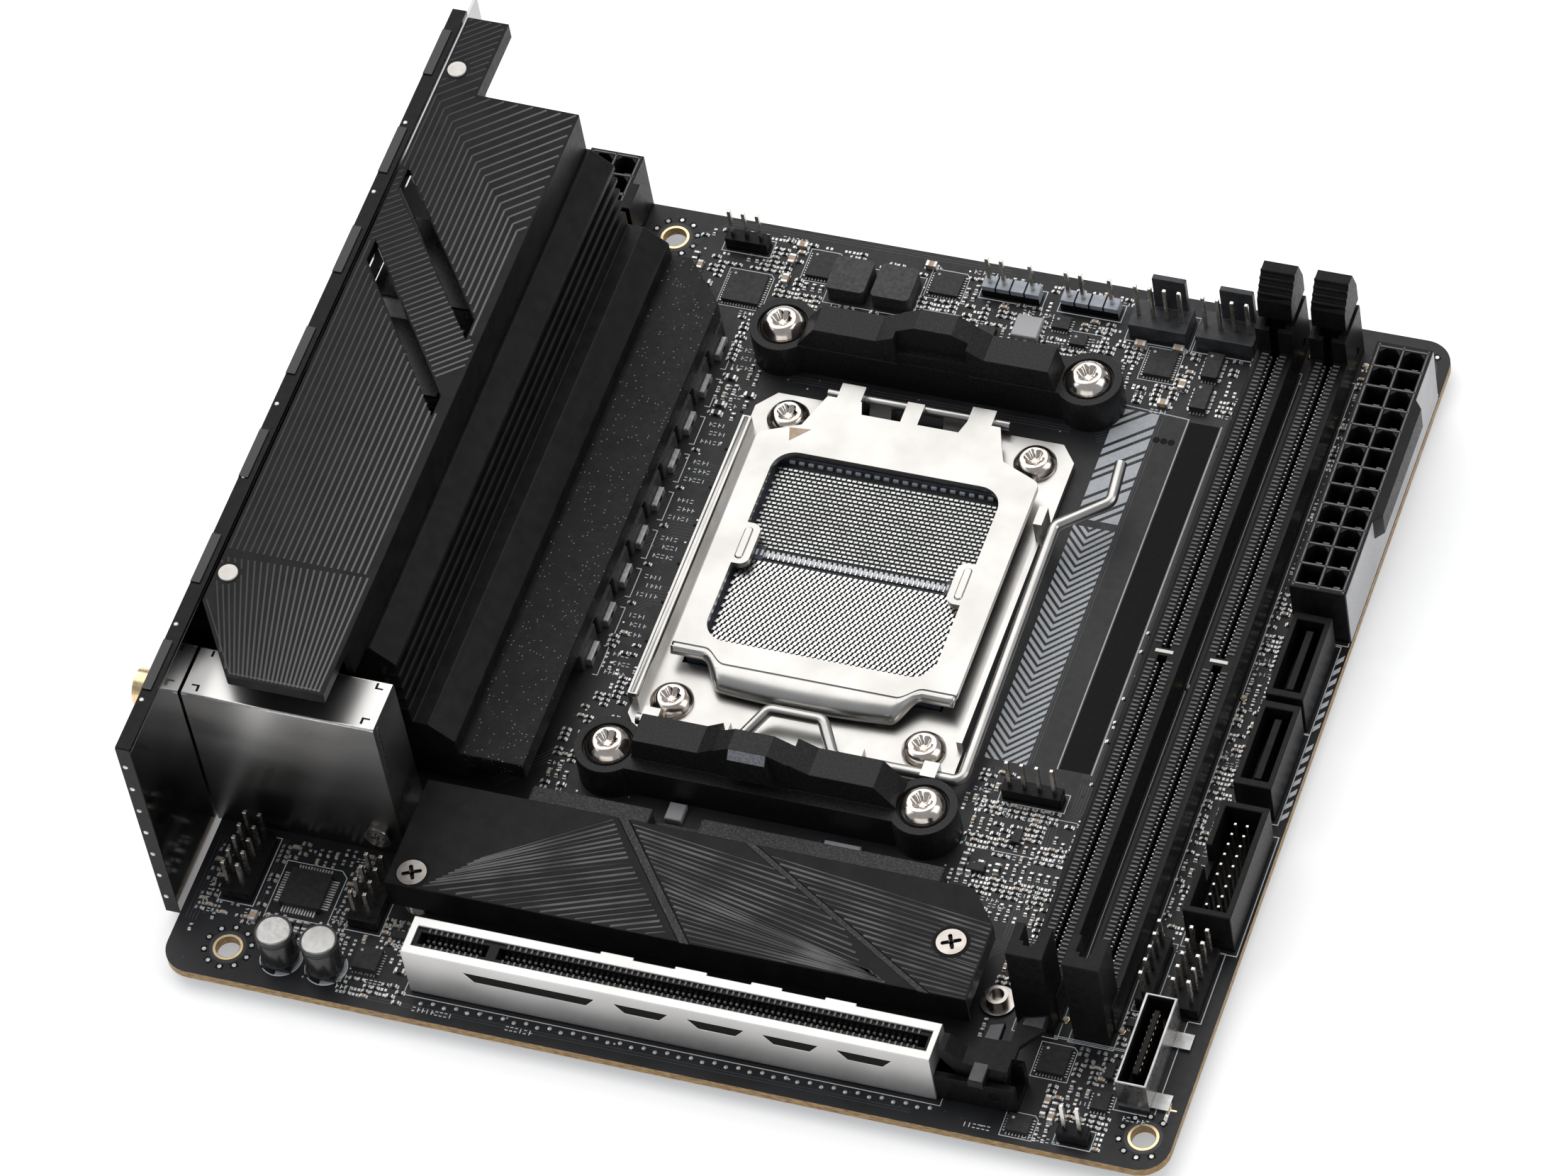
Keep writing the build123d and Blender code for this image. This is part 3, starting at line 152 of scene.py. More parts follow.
M = {
    "nickel": material("bright_nickel", (0.50, 0.488, 0.470), 0.30, 1.0, tone=(0.58, 0.568, 0.55), tone_scale=0.12,
                       rough_var=0.03, rough_scale=0.2, bump=0.0002, bump_scale=1.2),
    "nickel_soft": material("brushed_nickel", (0.52, 0.515, 0.505), 0.36, 1.0, tone=(0.62, 0.61, 0.60), tone_scale=0.2,
                            rough_var=0.07, rough_scale=0.8, bump=0.001, bump_scale=2.0, stretch=(0.25, 1, 1)),
    "can": material("can_nickel_painted_shade", (0.60, 0.59, 0.58), 0.30, 1.0, tone=(0.72, 0.71, 0.70), tone_scale=0.05,
                    rough_var=0.03, rough_scale=0.1, bump=0.05, bump_scale=0.05, stretch=(0.5, 1, 2.0), detail=1.0),
    "sleeve": material("slot_sleeve_steel", (0.66, 0.65, 0.635), 0.42, 0.9, tone=(0.78, 0.77, 0.755), tone_scale=0.06,
                       rough_var=0.04, rough_scale=0.08, bump=0.006, bump_scale=0.06, detail=1.0),
    "chrome": material("shield_chrome", (0.40, 0.40, 0.405), 0.14, 1.0, tone=(0.55, 0.55, 0.555), tone_scale=0.05,
                       rough_var=0.04, rough_scale=0.2, bump=0.04, bump_scale=0.07, detail=1.0),
    "screw": material("screw_nickel", (0.72, 0.62, 0.54), 0.17, 1.0, tone=(0.84, 0.78, 0.72), tone_scale=0.4,
                      rough_var=0.04, rough_scale=1.2),
    "gold": material("contact_gold", (0.83, 0.60, 0.33), 0.27, 1.0, tone=(0.92, 0.74, 0.46), tone_scale=0.9,
                     rough_var=0.05),
    "pin": material("pin_tin", (0.66, 0.62, 0.55), 0.24, 1.0, tone=(0.86, 0.82, 0.75), tone_scale=0.7, rough_var=0.06),
    "solder": material("solder_silver", (0.50, 0.495, 0.485), 0.42, 0.85, tone=(0.80, 0.795, 0.785), tone_scale=1.3,
                       rough_var=0.08, bump=0.004, bump_scale=2.0),
    "cover": material("cover_black", (0.0045, 0.0045, 0.005), 0.36, 0.0, 0.13, tone=(0.009, 0.009, 0.0095),
                      tone_scale=0.3, rough_var=0.05, rough_scale=0.8, bump=0.0008, bump_scale=9.0),
    "line": material("engraved_line", (0.10, 0.10, 0.102), 0.40, 0.0, 0.3),
    "anod": material("anodised_black", (0.0075, 0.0075, 0.008), 0.42, 0.0, 0.16, tone=(0.013, 0.013, 0.0135),
                     tone_scale=0.6, rough_var=0.08, rough_scale=2.0, bump=0.001, bump_scale=6.0),
    "grain": material("powder_coat", (0.012, 0.012, 0.013), 0.5, 0.0, 0.35, tone=(0.07, 0.07, 0.073), tone_scale=3.0,
                      rough_var=0.16, rough_scale=4.0, bump=0.03, bump_scale=3.6, contrast=(0.5, 0.74)),
    "plastic": material("black_plastic", (0.0045, 0.0045, 0.005), 0.38, 0.0, 0.14, tone=(0.008, 0.008, 0.0085),
                        tone_scale=0.8, rough_var=0.08, rough_scale=2.0, bump=0.002, bump_scale=5.0),
    "plastic_grain": material("bracket_plastic", (0.0085, 0.0085, 0.009), 0.44, 0.0, 0.26, tone=(0.026, 0.026, 0.027),
                              tone_scale=3.0, rough_var=0.12, rough_scale=4.0, bump=0.02, bump_scale=4.0,
                              contrast=(0.45, 0.75)),
    "slot_plastic": material("slot_plastic", (0.006, 0.006, 0.0065), 0.36, 0.0, 0.15, tone=(0.010, 0.010, 0.0105),
                             tone_scale=1.0, rough_var=0.08, rough_scale=2.0, bump=0.002, bump_scale=5.0),
    # real grey lids of small parts, and a painted reflection panel on the power socket's side
    "grey_and_painted_reflection": material("grey_lid_and_painted_reflection_plastic", (0.30, 0.30, 0.31), 0.35, 0.0, 0.5, tone=(0.42, 0.42, 0.43),
                          tone_scale=0.05, rough_var=0.06, bump=0.001, bump_scale=5.0),
    "grey_plastic": material("grey_plastic", (0.34, 0.37, 0.42), 0.42, 0.0, 0.4, tone=(0.44, 0.47, 0.52),
                             tone_scale=0.8, rough_var=0.06, bump=0.002, bump_scale=5.0),
    "fan_plastic": material("fan_plastic", (0.030, 0.031, 0.034), 0.42, 0.0, 0.35, tone=(0.05, 0.051, 0.055),
                            tone_scale=0.8, rough_var=0.06, bump=0.002, bump_scale=5.0),
    "socket": material("socket_plastic", (0.045, 0.052, 0.066), 0.45, 0.0, 0.35, tone=(0.08, 0.09, 0.11),
                       tone_scale=0.6, rough_var=0.08, bump=0.002, bump_scale=4.0),
    "cream": material("cream_plastic", (0.74, 0.70, 0.64), 0.5, 0.0, 0.4, tone=(0.82, 0.78, 0.73), tone_scale=0.7,
                      rough_var=0.05, bump=0.001, bump_scale=4.0),
    "silk": material("silk_white", (0.66, 0.67, 0.69), 0.6, 0.0, 0.3, tone=(0.78, 0.79, 0.81), tone_scale=2.5,
                     bump=0.001, bump_scale=6.0),
    "silk_grey": material("silk_grey", (0.42, 0.435, 0.46), 0.55, 0.0, 0.35, tone=(0.48, 0.495, 0.52), tone_scale=1.2,
                          bump=0.001, bump_scale=6.0),
    "silk_black": material("mask_black", (0.003, 0.003, 0.0032), 0.5, 0.0, 0.1, tone=(0.005, 0.005, 0.0055),
                           tone_scale=1.0, bump=0.001, bump_scale=5.0),
    "trace": material("mask_over_copper", (0.040, 0.041, 0.044), 0.42, 0.0, 0.35, tone=(0.052, 0.053, 0.056),
                      tone_scale=0.5, bump=0.001, bump_scale=5.0),
    "mlcc": material("ceramic_tan", (0.42, 0.29, 0.19), 0.5, 0.0, 0.4, tone=(0.56, 0.41, 0.28), tone_scale=0.9,
                     bump=0.002, bump_scale=4.0),
    "chip": material("chip_epoxy", (0.013, 0.013, 0.014), 0.5, 0.0, 0.35, tone=(0.024, 0.024, 0.026), tone_scale=1.2,
                     rough_var=0.08, bump=0.004, bump_scale=6.0),
    "choke": material("choke_ferrite", (0.035, 0.035, 0.036), 0.55, 0.0, 0.35, tone=(0.06, 0.06, 0.062), tone_scale=1.4,
                      rough_var=0.1, bump=0.01, bump_scale=4.0),
    "pad": material("thermal_pad", (0.12, 0.125, 0.135), 0.75, 0.0, 0.3, tone=(0.17, 0.175, 0.185), tone_scale=0.9,
                    bump=0.01, bump_scale=2.0),
    "insulator": material("insulator_film", (0.02, 0.02, 0.022), 0.5, 0.0, 0.4, tone=(0.03, 0.03, 0.032),
                          tone_scale=0.6, bump=0.002, bump_scale=3.0),
    "cap_sleeve": material("capacitor_sleeve", (0.012, 0.012, 0.013), 0.25, 0.0, 0.5, tone=(0.02, 0.02, 0.021),
                           tone_scale=1.0, bump=0.001, bump_scale=4.0),
    "cap_top": material("capacitor_can", (0.74, 0.735, 0.72), 0.3, 1.0, tone=(0.84, 0.835, 0.82), tone_scale=0.8,
                        rough_var=0.08),
    "dark": material("deep_shadow_plastic", (0.003, 0.003, 0.003), 0.6, 0.0, 0.15, tone=(0.005, 0.005, 0.005),
                     tone_scale=1.0, bump=0.002, bump_scale=4.0),
    "steel": material("port_steel", (0.58, 0.575, 0.57), 0.3, 1.0, tone=(0.70, 0.70, 0.69), tone_scale=0.25,
                      rough_var=0.06, bump=0.001, bump_scale=2.0),
    "button": material("button_black", (0.02, 0.02, 0.021), 0.4, 0.0, 0.5, tone=(0.03, 0.03, 0.031), tone_scale=1.5,
                       bump=0.002, bump_scale=4.0),
}


def board_material():
    """Charcoal solder mask on the two faces, bare laminate on the cut edge."""
    m = material("solder_mask", (0.0125, 0.0128, 0.014), 0.42, 0.0, 0.3, tone=(0.021, 0.0215, 0.0235), tone_scale=0.09,
                 rough_var=0.06, rough_scale=0.7, bump=0.001, bump_scale=2.2, detail=4.0)
    nt = m.node_tree
    b = nt.nodes["Principled BSDF"]
    ramp = next(n for n in nt.nodes if n.type == "VALTORGB")
    geo = nt.nodes.new("ShaderNodeNewGeometry")
    sep = nt.nodes.new("ShaderNodeSeparateXYZ")
    nt.links.new(geo.outputs["Normal"], sep.inputs["Vector"])
    ab = nt.nodes.new("ShaderNodeMath")
    ab.operation = "ABSOLUTE"
    nt.links.new(sep.outputs["Z"], ab.inputs[0])
    mr = nt.nodes.new("ShaderNodeMapRange")
    mr.inputs["From Min"].default_value = 0.4
    mr.inputs["From Max"].default_value = 0.6
    nt.links.new(ab.outputs[0], mr.inputs["Value"])
    # laminate: layered amber with glass weave
    tc = next(n for n in nt.nodes if n.type == "TEX_COORD")
    mp2 = nt.nodes.new("ShaderNodeMapping")
    mp2.inputs["Scale"].default_value = (900, 900, 5200)
    nt.links.new(tc.outputs["Object"], mp2.inputs["Vector"])
    n2 = nt.nodes.new("ShaderNodeTexNoise")
    n2.inputs["Scale"].default_value = 1.0
    n2.inputs["Detail"].default_value = 3.0
    nt.links.new(mp2.outputs["Vector"], n2.inputs["Vector"])
    r2 = nt.nodes.new("ShaderNodeValToRGB")
    r2.color_ramp.elements[0].position = 0.35
    r2.color_ramp.elements[1].position = 0.68
    r2.color_ramp.elements[0].color = (0.17, 0.085, 0.025, 1)
    r2.color_ramp.elements[1].color = (0.46, 0.31, 0.13, 1)
    nt.links.new(n2.outputs["Fac"], r2.inputs["Fac"])
    mix = nt.nodes.new("ShaderNodeMix")
    mix.data_type = "RGBA"
    nt.links.new(mr.outputs["Result"], mix.inputs["Factor"])
    nt.links.new(r2.outputs["Color"], mix.inputs[6])
    nt.links.new(ramp.outputs["Color"], mix.inputs[7])
    nt.links.new(mix.outputs[2], b.inputs["Base Color"])
    return m


M["board"] = board_material()
# painted highlight and sheen: the cover's engraved lines are a lighter grey where the grooves catch light, and they
# brighten towards the right as a painted sheen
tint_by_position(M["line"], "X", 1.0, 25.0, (0.022, 0.022, 0.023), (0.12, 0.12, 0.122))
# painted shade: the radio can's sides darken towards the board
tint_by_position(M["can"], "Z", 4.0, 31.0, (0.17, 0.167, 0.163), (0.62, 0.61, 0.60))


def painted_glint_coat(name, base, x_from):
    """Dark coat with fine bright flecks beyond x_from, which are painted glints of the sparkling slab, and a plain
    satin face before it.
    """
    m = material(name, base, 0.42, 0.0, 0.18, rough_var=0.06, rough_scale=1.5, bump=0.003, bump_scale=5.0)
    nt = m.node_tree
    b = nt.nodes["Principled BSDF"]
    ramp = next(n for n in nt.nodes if n.type == "VALTORGB")
    mp = next(n for n in nt.nodes if n.type == "MAPPING")
    tc = next(n for n in nt.nodes if n.type == "TEX_COORD")
    vor = nt.nodes.new("ShaderNodeTexVoronoi")
    vor.inputs["Scale"].default_value = 1.5
    nt.links.new(mp.outputs["Vector"], vor.inputs["Vector"])
    sep = nt.nodes.new("ShaderNodeSeparateColor")
    nt.links.new(vor.outputs["Color"], sep.inputs["Color"])
    gate = nt.nodes.new("ShaderNodeMath")
    gate.operation = "GREATER_THAN"
    gate.inputs[1].default_value = 0.48
    nt.links.new(sep.outputs["Red"], gate.inputs[0])
    near = nt.nodes.new("ShaderNodeMath")
    near.operation = "LESS_THAN"
    near.inputs[1].default_value = 0.17
    nt.links.new(vor.outputs["Distance"], near.inputs[0])
    both = nt.nodes.new("ShaderNodeMath")
    both.operation = "MULTIPLY"
    nt.links.new(gate.outputs[0], both.inputs[0])
    nt.links.new(near.outputs[0], both.inputs[1])
    xyz = nt.nodes.new("ShaderNodeSeparateXYZ")
    nt.links.new(tc.outputs["Object"], xyz.inputs["Vector"])
    far = nt.nodes.new("ShaderNodeMath")
    far.operation = "GREATER_THAN"
    far.inputs[1].default_value = (x_from - OX) / 1000.0
    nt.links.new(xyz.outputs["X"], far.inputs[0])
    # mask of the painted glints: flecks only on the slab beyond x_from
    glint_mask = nt.nodes.new("ShaderNodeMath")
    glint_mask.operation = "MULTIPLY"
    nt.links.new(both.outputs[0], glint_mask.inputs[0])
    nt.links.new(far.outputs[0], glint_mask.inputs[1])
    mix = nt.nodes.new("ShaderNodeMix")
    mix.data_type = "RGBA"
    nt.links.new(glint_mask.outputs[0], mix.inputs["Factor"])
    nt.links.new(ramp.outputs["Color"], mix.inputs[6])
    mix.inputs[7].default_value = (0.26, 0.265, 0.275, 1.0)
    nt.links.new(mix.outputs[2], b.inputs["Base Color"])
    return m


# painted glints: bright flecks on the heatsink's far slab stand in for its sparkle
M["sink"] = painted_glint_coat("heatsink_coat_painted_glints", (0.0065, 0.0065, 0.007), 37.2)


def darken_above(m, z0, z1, colour):
    """Above z0..z1 (board mm) the metal turns dark and non-metallic."""
    nt = m.node_tree
    b = nt.nodes["Principled BSDF"]
    tc = next(n for n in nt.nodes if n.type == "TEX_COORD")
    ramp = next(n for n in nt.nodes if n.type == "VALTORGB")
    sep = nt.nodes.new("ShaderNodeSeparateXYZ")
    nt.links.new(tc.outputs["Object"], sep.inputs["Vector"])
    mr = nt.nodes.new("ShaderNodeMapRange")
    mr.inputs["From Min"].default_value = z0 / 1000.0
    mr.inputs["From Max"].default_value = z1 / 1000.0
    nt.links.new(sep.outputs["Z"], mr.inputs["Value"])
    mix = nt.nodes.new("ShaderNodeMix")
    mix.data_type = "RGBA"
    nt.links.new(mr.outputs["Result"], mix.inputs["Factor"])
    nt.links.new(ramp.outputs["Color"], mix.inputs[6])
    mix.inputs[7].default_value = (*colour, 1.0)
    nt.links.new(mix.outputs[2], b.inputs["Base Color"])
    inv = nt.nodes.new("ShaderNodeMapRange")
    inv.inputs["To Min"].default_value = 1.0
    inv.inputs["To Max"].default_value = 0.0
    nt.links.new(mr.outputs["Result"], inv.inputs["Value"])
    nt.links.new(inv.outputs["Result"], b.inputs["Metallic"])


# the shield's top rim and the port tops turn dark and non-metallic above these heights
darken_above(M["chrome"], 41.2, 41.7, (0.008, 0.008, 0.0085))
darken_above(M["steel"], 29.6, 30.3, (0.006, 0.006, 0.0062))


def flat_ring(shape, cx, cy, r0, r1, z0, z1, n, mat):
    """Flat open ring."""
    v, f = [], []
    for i in range(n):
        a = 2 * math.pi * i / n
        c, s_ = math.cos(a), math.sin(a)
        v += [(cx + r1 * c, cy + r1 * s_, z0), (cx + r1 * c, cy + r1 * s_, z1), (cx + r0 * c, cy + r0 * s_, z1),
              (cx + r0 * c, cy + r0 * s_, z0)]
    for i in range(n):
        a, b = 4 * i, 4 * ((i + 1) % n)
        for k in range(4):
            kk = (k + 1) % 4
            f.append((a + k, b + k, b + kk, a + kk))
    shape.add(v, f, mat)


# ------------------------------------------------------------------ mesh helpers
class Shape:
    """Collects faces in board millimetres, one material index each, and makes one object of them."""

    def __init__(self, *mats):
        self.mats = list(mats)
        self.v, self.f, self.mi, self.sm = [], [], [], []

    def idx(self, mat):
        if mat not in self.mats:
            self.mats.append(mat)
        return self.mats.index(mat)

    def add(self, verts, faces, mat, smooth=False):
        o = len(self.v)
        self.v.extend(verts)
        k = self.idx(mat)
        for f in faces:
            self.f.append([i + o for i in f])
            self.mi.append(k)
            self.sm.append(smooth)

    def box(self, x0, x1, y0, y1, z0, z1, mat, c=0.0, bottom=True):
        """Box; c cuts a chamfer round the top."""
        if c <= 0:
            v = [(x0, y0, z0), (x1, y0, z0), (x1, y1, z0), (x0, y1, z0),
                 (x0, y0, z1), (x1, y0, z1), (x1, y1, z1), (x0, y1, z1)]
            f = [(3, 2, 1, 0), (4, 5, 6, 7), (0, 1, 5, 4), (1, 2, 6, 5), (2, 3, 7, 6), (3, 0, 4, 7)]
        else:
            v = [(x0, y0, z0), (x1, y0, z0), (x1, y1, z0), (x0, y1, z0),
                 (x0, y0, z1 - c), (x1, y0, z1 - c), (x1, y1, z1 - c), (x0, y1, z1 - c),
                 (x0 + c, y0 + c, z1), (x1 - c, y0 + c, z1), (x1 - c, y1 - c, z1), (x0 + c, y1 - c, z1)]
            f = [(3, 2, 1, 0), (8, 9, 10, 11)]
            for i in range(4):
                j = (i + 1) % 4
                f.append((i, j, j + 4, i + 4))
                f.append((i + 4, j + 4, j + 8, i + 8))
        self.add(v, f, mat)

    def tbox(self, cx, cy, z0, w, d, h, ang, mat, c=0.0):
        """Box turned about the upright axis, ang in degrees."""
        s = Shape()
        s.box(-w / 2, w / 2, -d / 2, d / 2, z0, z0 + h, mat, c)
        ca, sa = math.cos(math.radians(ang)), math.sin(math.radians(ang))
        self.add([(cx + x * ca - y * sa, cy + x * sa + y * ca, z) for x, y, z in s.v], s.f, mat)

    def prism(self, poly, z0, z1, mat, c=0.0, smooth=False):
        """Closed outline, anticlockwise, between two heights, with a small chamfer c at the top."""
        n = len(poly)
        area = sum(poly[i][0] * poly[(i + 1) % n][1] - poly[(i + 1) % n][0] * poly[i][1] for i in range(n))
        if area < 0:
            poly = poly[::-1]
        v = [(x, y, z0) for x, y in poly]
        f = [tuple(range(n))[::-1]]
        if c > 0:
            inner = inset(poly, c)
            v += [(x, y, z1 - c) for x, y in poly] + [(x, y, z1) for x, y in inner]
            for i in range(n):
                j = (i + 1) % n
                f.append((i, j, j + n, i + n))
                f.append((i + n, j + n, j + 2 * n, i + 2 * n))
            f.append(tuple(range(2 * n, 3 * n)))
        else:
            v += [(x, y, z1) for x, y in poly]
            for i in range(n):
                j = (i + 1) % n
                f.append((i, j, j + n, i + n))
            f.append(tuple(range(n, 2 * n)))
        self.add(v, f, mat, smooth)

    def stroke(self, pts, w, z0, z1, mat, taper=0.0, closed=False):
        """A raised line of width w along pts (x, y), mitred at its corners. taper narrows its top."""
        pts = [Vector((p[0], p[1])) for p in pts]
        n = len(pts)
        left, right = [], []
        for i, p in enumerate(pts):
            a = pts[i - 1] if (i > 0 or closed) else None
            b = pts[(i + 1) % n] if (i < n - 1 or closed) else None
            d1 = (p - a).normalized() if a is not None else None
            d2 = (b - p).normalized() if b is not None else None
            d1 = d1 or d2
            d2 = d2 or d1
            n1, n2 = Vector((-d1.y, d1.x)), Vector((-d2.y, d2.x))
            m = (n1 + n2)
            m = m.normalized() if m.length > 1e-6 else n1
            k = 1.0 / max(0.35, m.dot(n1))
            left.append(m * k)
            right.append(m * k)
        h, t = w / 2, max(0.01, w / 2 - taper)
        v = []
        for i, p in enumerate(pts):
            m = left[i]
            for (r, z) in ((h, z0), (t, z1), (-t, z1), (-h, z0)):
                q = p + m * r
                v.append((q.x, q.y, z))
        f = []
        last = n if closed else n - 1
        for i in range(last):
            a, b = 4 * i, 4 * ((i + 1) % n)
            for k in range(4):
                kk = (k + 1) % 4
                f.append((a + k, b + k, b + kk, a + kk))
        if not closed:
            f.append((3, 2, 1, 0)[::-1])
            e = 4 * (n - 1)
            f.append((e + 3, e + 2, e + 1, e))
        self.add(v, f, mat)

    def lathe(self, cx, cy, prof, n, mat, smooth=True, lobes=None, axis="Z", a0=0.0, mats=None):
        """Rings of (radius, height) turned about an upright line, closed at both ends. lobes(k, angle) scales ring k."""
        v, f = [], []
        rings = len(prof)
        for k, (r, z) in enumerate(prof):
            for i in range(n):
                a = a0 + 2 * math.pi * i / n
                s = lobes(k, a) if lobes else 1.0
                v.append((r * s * math.cos(a), r * s * math.sin(a), z))
        v = [(cx + x, cy + y, z) if axis == "Z" else
             ((z, cx + x, cy + y) if axis == "X" else (cx + x, z, cy + y)) for x, y, z in v]
        flip = axis == "Y"
        groups = {}
        for k in range(rings - 1):
            for i in range(n):
                j = (i + 1) % n
                q = (k * n + i, k * n + j, (k + 1) * n + j, (k + 1) * n + i)
                groups.setdefault(mats[k] if mats else mat, []).append(q[::-1] if flip else q)
        cap0 = tuple(range(n))
        cap1 = tuple(range((rings - 1) * n, rings * n))
        o = len(self.v)
        self.v.extend(v)
        for mm, qs in groups.items():
            kk = self.idx(mm)
            for q in qs:
                self.f.append([i + o for i in q]); self.mi.append(kk); self.sm.append(smooth)
        for cap, mm in ((cap0 if flip else cap0[::-1], mats[0] if mats else mat),
                        (cap1[::-1] if flip else cap1, mats[-1] if mats else mat)):
            self.f.append([i + o for i in cap]); self.mi.append(self.idx(mm)); self.sm.append(False)

    def make(self, name, body="board", stands_for=(), bevel=0.0, segs=2, angle=35):
        me = bpy.data.meshes.new(name)
        co = np.array(self.v, float).reshape(-1, 3)
        co[:, 0] -= OX
        co[:, 1] -= OY
        co /= 1000.0
        me.from_pydata(co.tolist(), [], self.f)
        for m in self.mats:
            me.materials.append(M[m])
        me.polygons.foreach_set("material_index", self.mi)
        me.polygons.foreach_set("use_smooth", self.sm)
        me.update()
        o = bpy.data.objects.new(name, me)
        scene.collection.objects.link(o)
        if bevel:
            add_bevel(o, bevel, segs, angle)
        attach(o, body)
        if stands_for:
            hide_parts(*stands_for)
        return o


def inset(poly, c):
    n = len(poly)
    out = []
    for i in range(n):
        a, p, b = Vector(poly[i - 1]), Vector(poly[i]), Vector(poly[(i + 1) % n])
        d1, d2 = (p - a).normalized(), (b - p).normalized()
        n1, n2 = Vector((-d1.y, d1.x)), Vector((-d2.y, d2.x))
        m = n1 + n2
        m = m.normalized() if m.length > 1e-6 else n1
        k = c / max(0.35, m.dot(n1))
        q = p + m * k
        out.append((q.x, q.y))
    return out


def add_bevel(o, width, segs=2, angle=35):
    """Rounds the sharp edges. width in millimetres."""
    w = o.modifiers.new("join", "WELD")
    w.merge_threshold = 2e-6
    b = o.modifiers.new("edge", "BEVEL")
    b.width = width / 1000.0
    b.segments = segs
    b.limit_method = "ANGLE"
    b.angle_limit = math.radians(angle)
    b.use_clamp_overlap = True
    b.harden_normals = False
    return b


def dress(node, mat, bevel=0.0, segs=2, angle=35):
    """A finish for a CAD node that stays."""
    o = nodes[node]
    if not o.material_slots:
        o.data.materials.append(M[mat])
    for s in o.material_slots:
        s.material = M[mat]
    if bevel:
        add_bevel(o, bevel, segs, angle)


# ------------------------------------------------------------------ board surface: copper, ink and small parts
HOLES = [(33.02, 163.65), (165.10, 163.65), (10.16, 6.17), (165.10, 6.17)]
COOLER = [(60.0, 54.3), (114.0, 54.3), (60.0, 144.3), (114.0, 144.3)]
ILM = [(65.5, 68.4), (109.0, 68.4), (65.5, 128.9), (109.0, 128.9)]
HEADERS = [(46.2, 164.6, 3, 1), (8.2, 21.6, 2, 5), (158.0, 35.6, 1, 5), (164.6, 35.6, 2, 5), (154.6, 3.4, 2, 1),
           (128.8, 64.6, 4, 1), (30.6, 19.6, 2, 4), (93.8, 164.2, 4, 1), (107.8, 164.2, 4, 1)]
CHIPS = [(45.4, 52.0, 152.0, 158.6, 0.9), (57.8, 62.2, 160.2, 165.6, 0.8), (79.6, 84.8, 161.2, 166.0, 0.8),
         (102.4, 105.4, 158.4, 161.0, 0.9), (106.4, 109.2, 155.6, 158.0, 0.9), (120.4, 125.2, 152.2, 157.8, 0.9),
         (130.2, 133.0, 153.4, 158.6, 1.4), (130.2, 133.0, 146.6, 151.8, 1.4), (31.6, 35.8, 6.6, 10.8, 1.4),
         (145.0, 149.6, 13.8, 19.0, 0.9), (143.6, 147.4, 2.0, 5.2, 0.9), (155.4, 158.2, 9.0, 12.4, 0.9)]
KEEP = [(-1, 22.4, 42, 170), (22, 48.9, 45.6, 153.8), (40, 50.2, 71.0, 146.2), (58.2, 117.4, 61.0, 136.0),
        (54.2, 119.8, 49.9, 58.7), (54.2, 119.8, 139.9, 148.7), (79, 93, 45.6, 51), (79, 93, 147, 153),
        (33.9, 133.3, 18.2, 40.0), (49.8, 121.2, 39.8, 45.0), (41.8, 145.2, 4.0, 13.0), (137.2, 147.6, 3.6, 19.4),
        (139.2, 146.3, 21, 166.4), (148.5, 155.5, 21, 166.4), (160.1, 172, 105.8, 158.8), (17, 28.8, 151.6, 170),
        (161.2, 170, 68.8, 104.8), (160.7, 169.4, 42.8, 65.8), (159.3, 168.2, 10.2, 28.4), (-1, 33.0, 29.6, 40.1),
        (14.0, 24.2, 14.2, 24.4), (16.6, 22.4, 3.3, 9.1), (24.4, 30.2, 3.3, 9.1), (62.8, 78.0, 156.0, 164.0),
        (115.5, 126.1, 159.5, 165.7), (127.3, 137.9, 159.5, 165.7), (117.0, 136.6, 70.0, 146.0),
        (132.2, 138.2, 22.0, 28.4)]
for hx, hy, nx, ny in HEADERS:
    KEEP.append((hx - nx * 1.27 - 0.3, hx + nx * 1.27 + 0.3, hy - ny * 1.27 - 0.3, hy + ny * 1.27 + 0.3))
for c in CHIPS:
    KEEP.append((c[0] - 0.6, c[1] + 0.6, c[2] - 0.6, c[3] + 0.6))


def free(x0, x1, y0, y1):
    if x0 < 1.0 or x1 > 169.0 or y0 < 1.2 or y1 > 169.0:
        return False
    for a0, a1, b0, b1 in KEEP:
        if x0 < a1 and x1 > a0 and y0 < b1 and y1 > b0:
            return False
    for hx, hy in HOLES:
        if math.hypot((x0 + x1) / 2 - hx, (y0 + y1) / 2 - hy) < 5.2:
            return False
    return True


smd = Shape("solder", "mlcc", "chip", "choke", "silk", "gold", "cap_top")
ink = Shape("silk", "silk_grey", "silk_black")
copper = Shape("trace", "solder", "gold", "dark")


def two_pad(x, y, ang, size, body):
    """A chip resistor or capacitor: two plated ends and a body between them."""
    L, W, H = size
    ca, sa = math.cos(math.radians(ang)), math.sin(math.radians(ang))
    e = L * 0.28
    for s in (-1, 1):
        d = s * (L - e) / 2
        smd.tbox(x + d * ca, y + d * sa, 0.0, e, W, H, ang, "solder", c=0.05)
        d = s * (L / 2 + 0.08)
        smd.tbox(x + d * ca, y + d * sa, 0.0, 0.34, W * 1.05, 0.07, ang, "solder")
    smd.tbox(x, y, 0.0, L - 2 * e, W * 0.96, H * 0.96, ang, body)


def legged(x, y, ang, w, d, h, n, pitch, sides=2):
    """A small package with formed legs on two or four sides."""
    smd.tbox(x, y, 0.06, w, d, h, ang, "chip", c=0.08)
    ca, sa = math.cos(math.radians(ang)), math.sin(math.radians(ang))
    for s in range(sides):
        a = ang + (0, 180, 90, 270)[s]
        half = d / 2 if s < 2 else w / 2
        cb, sb = math.cos(math.radians(a)), math.sin(math.radians(a))
        for k in range(n):
            u = (k - (n - 1) / 2) * pitch
            px = x + u * cb - (half + 0.22) * sb
            py = y + u * sb + (half + 0.22) * cb
            smd.tbox(px, py, 0.0, pitch * 0.5, 0.62, 0.14, a, "solder")


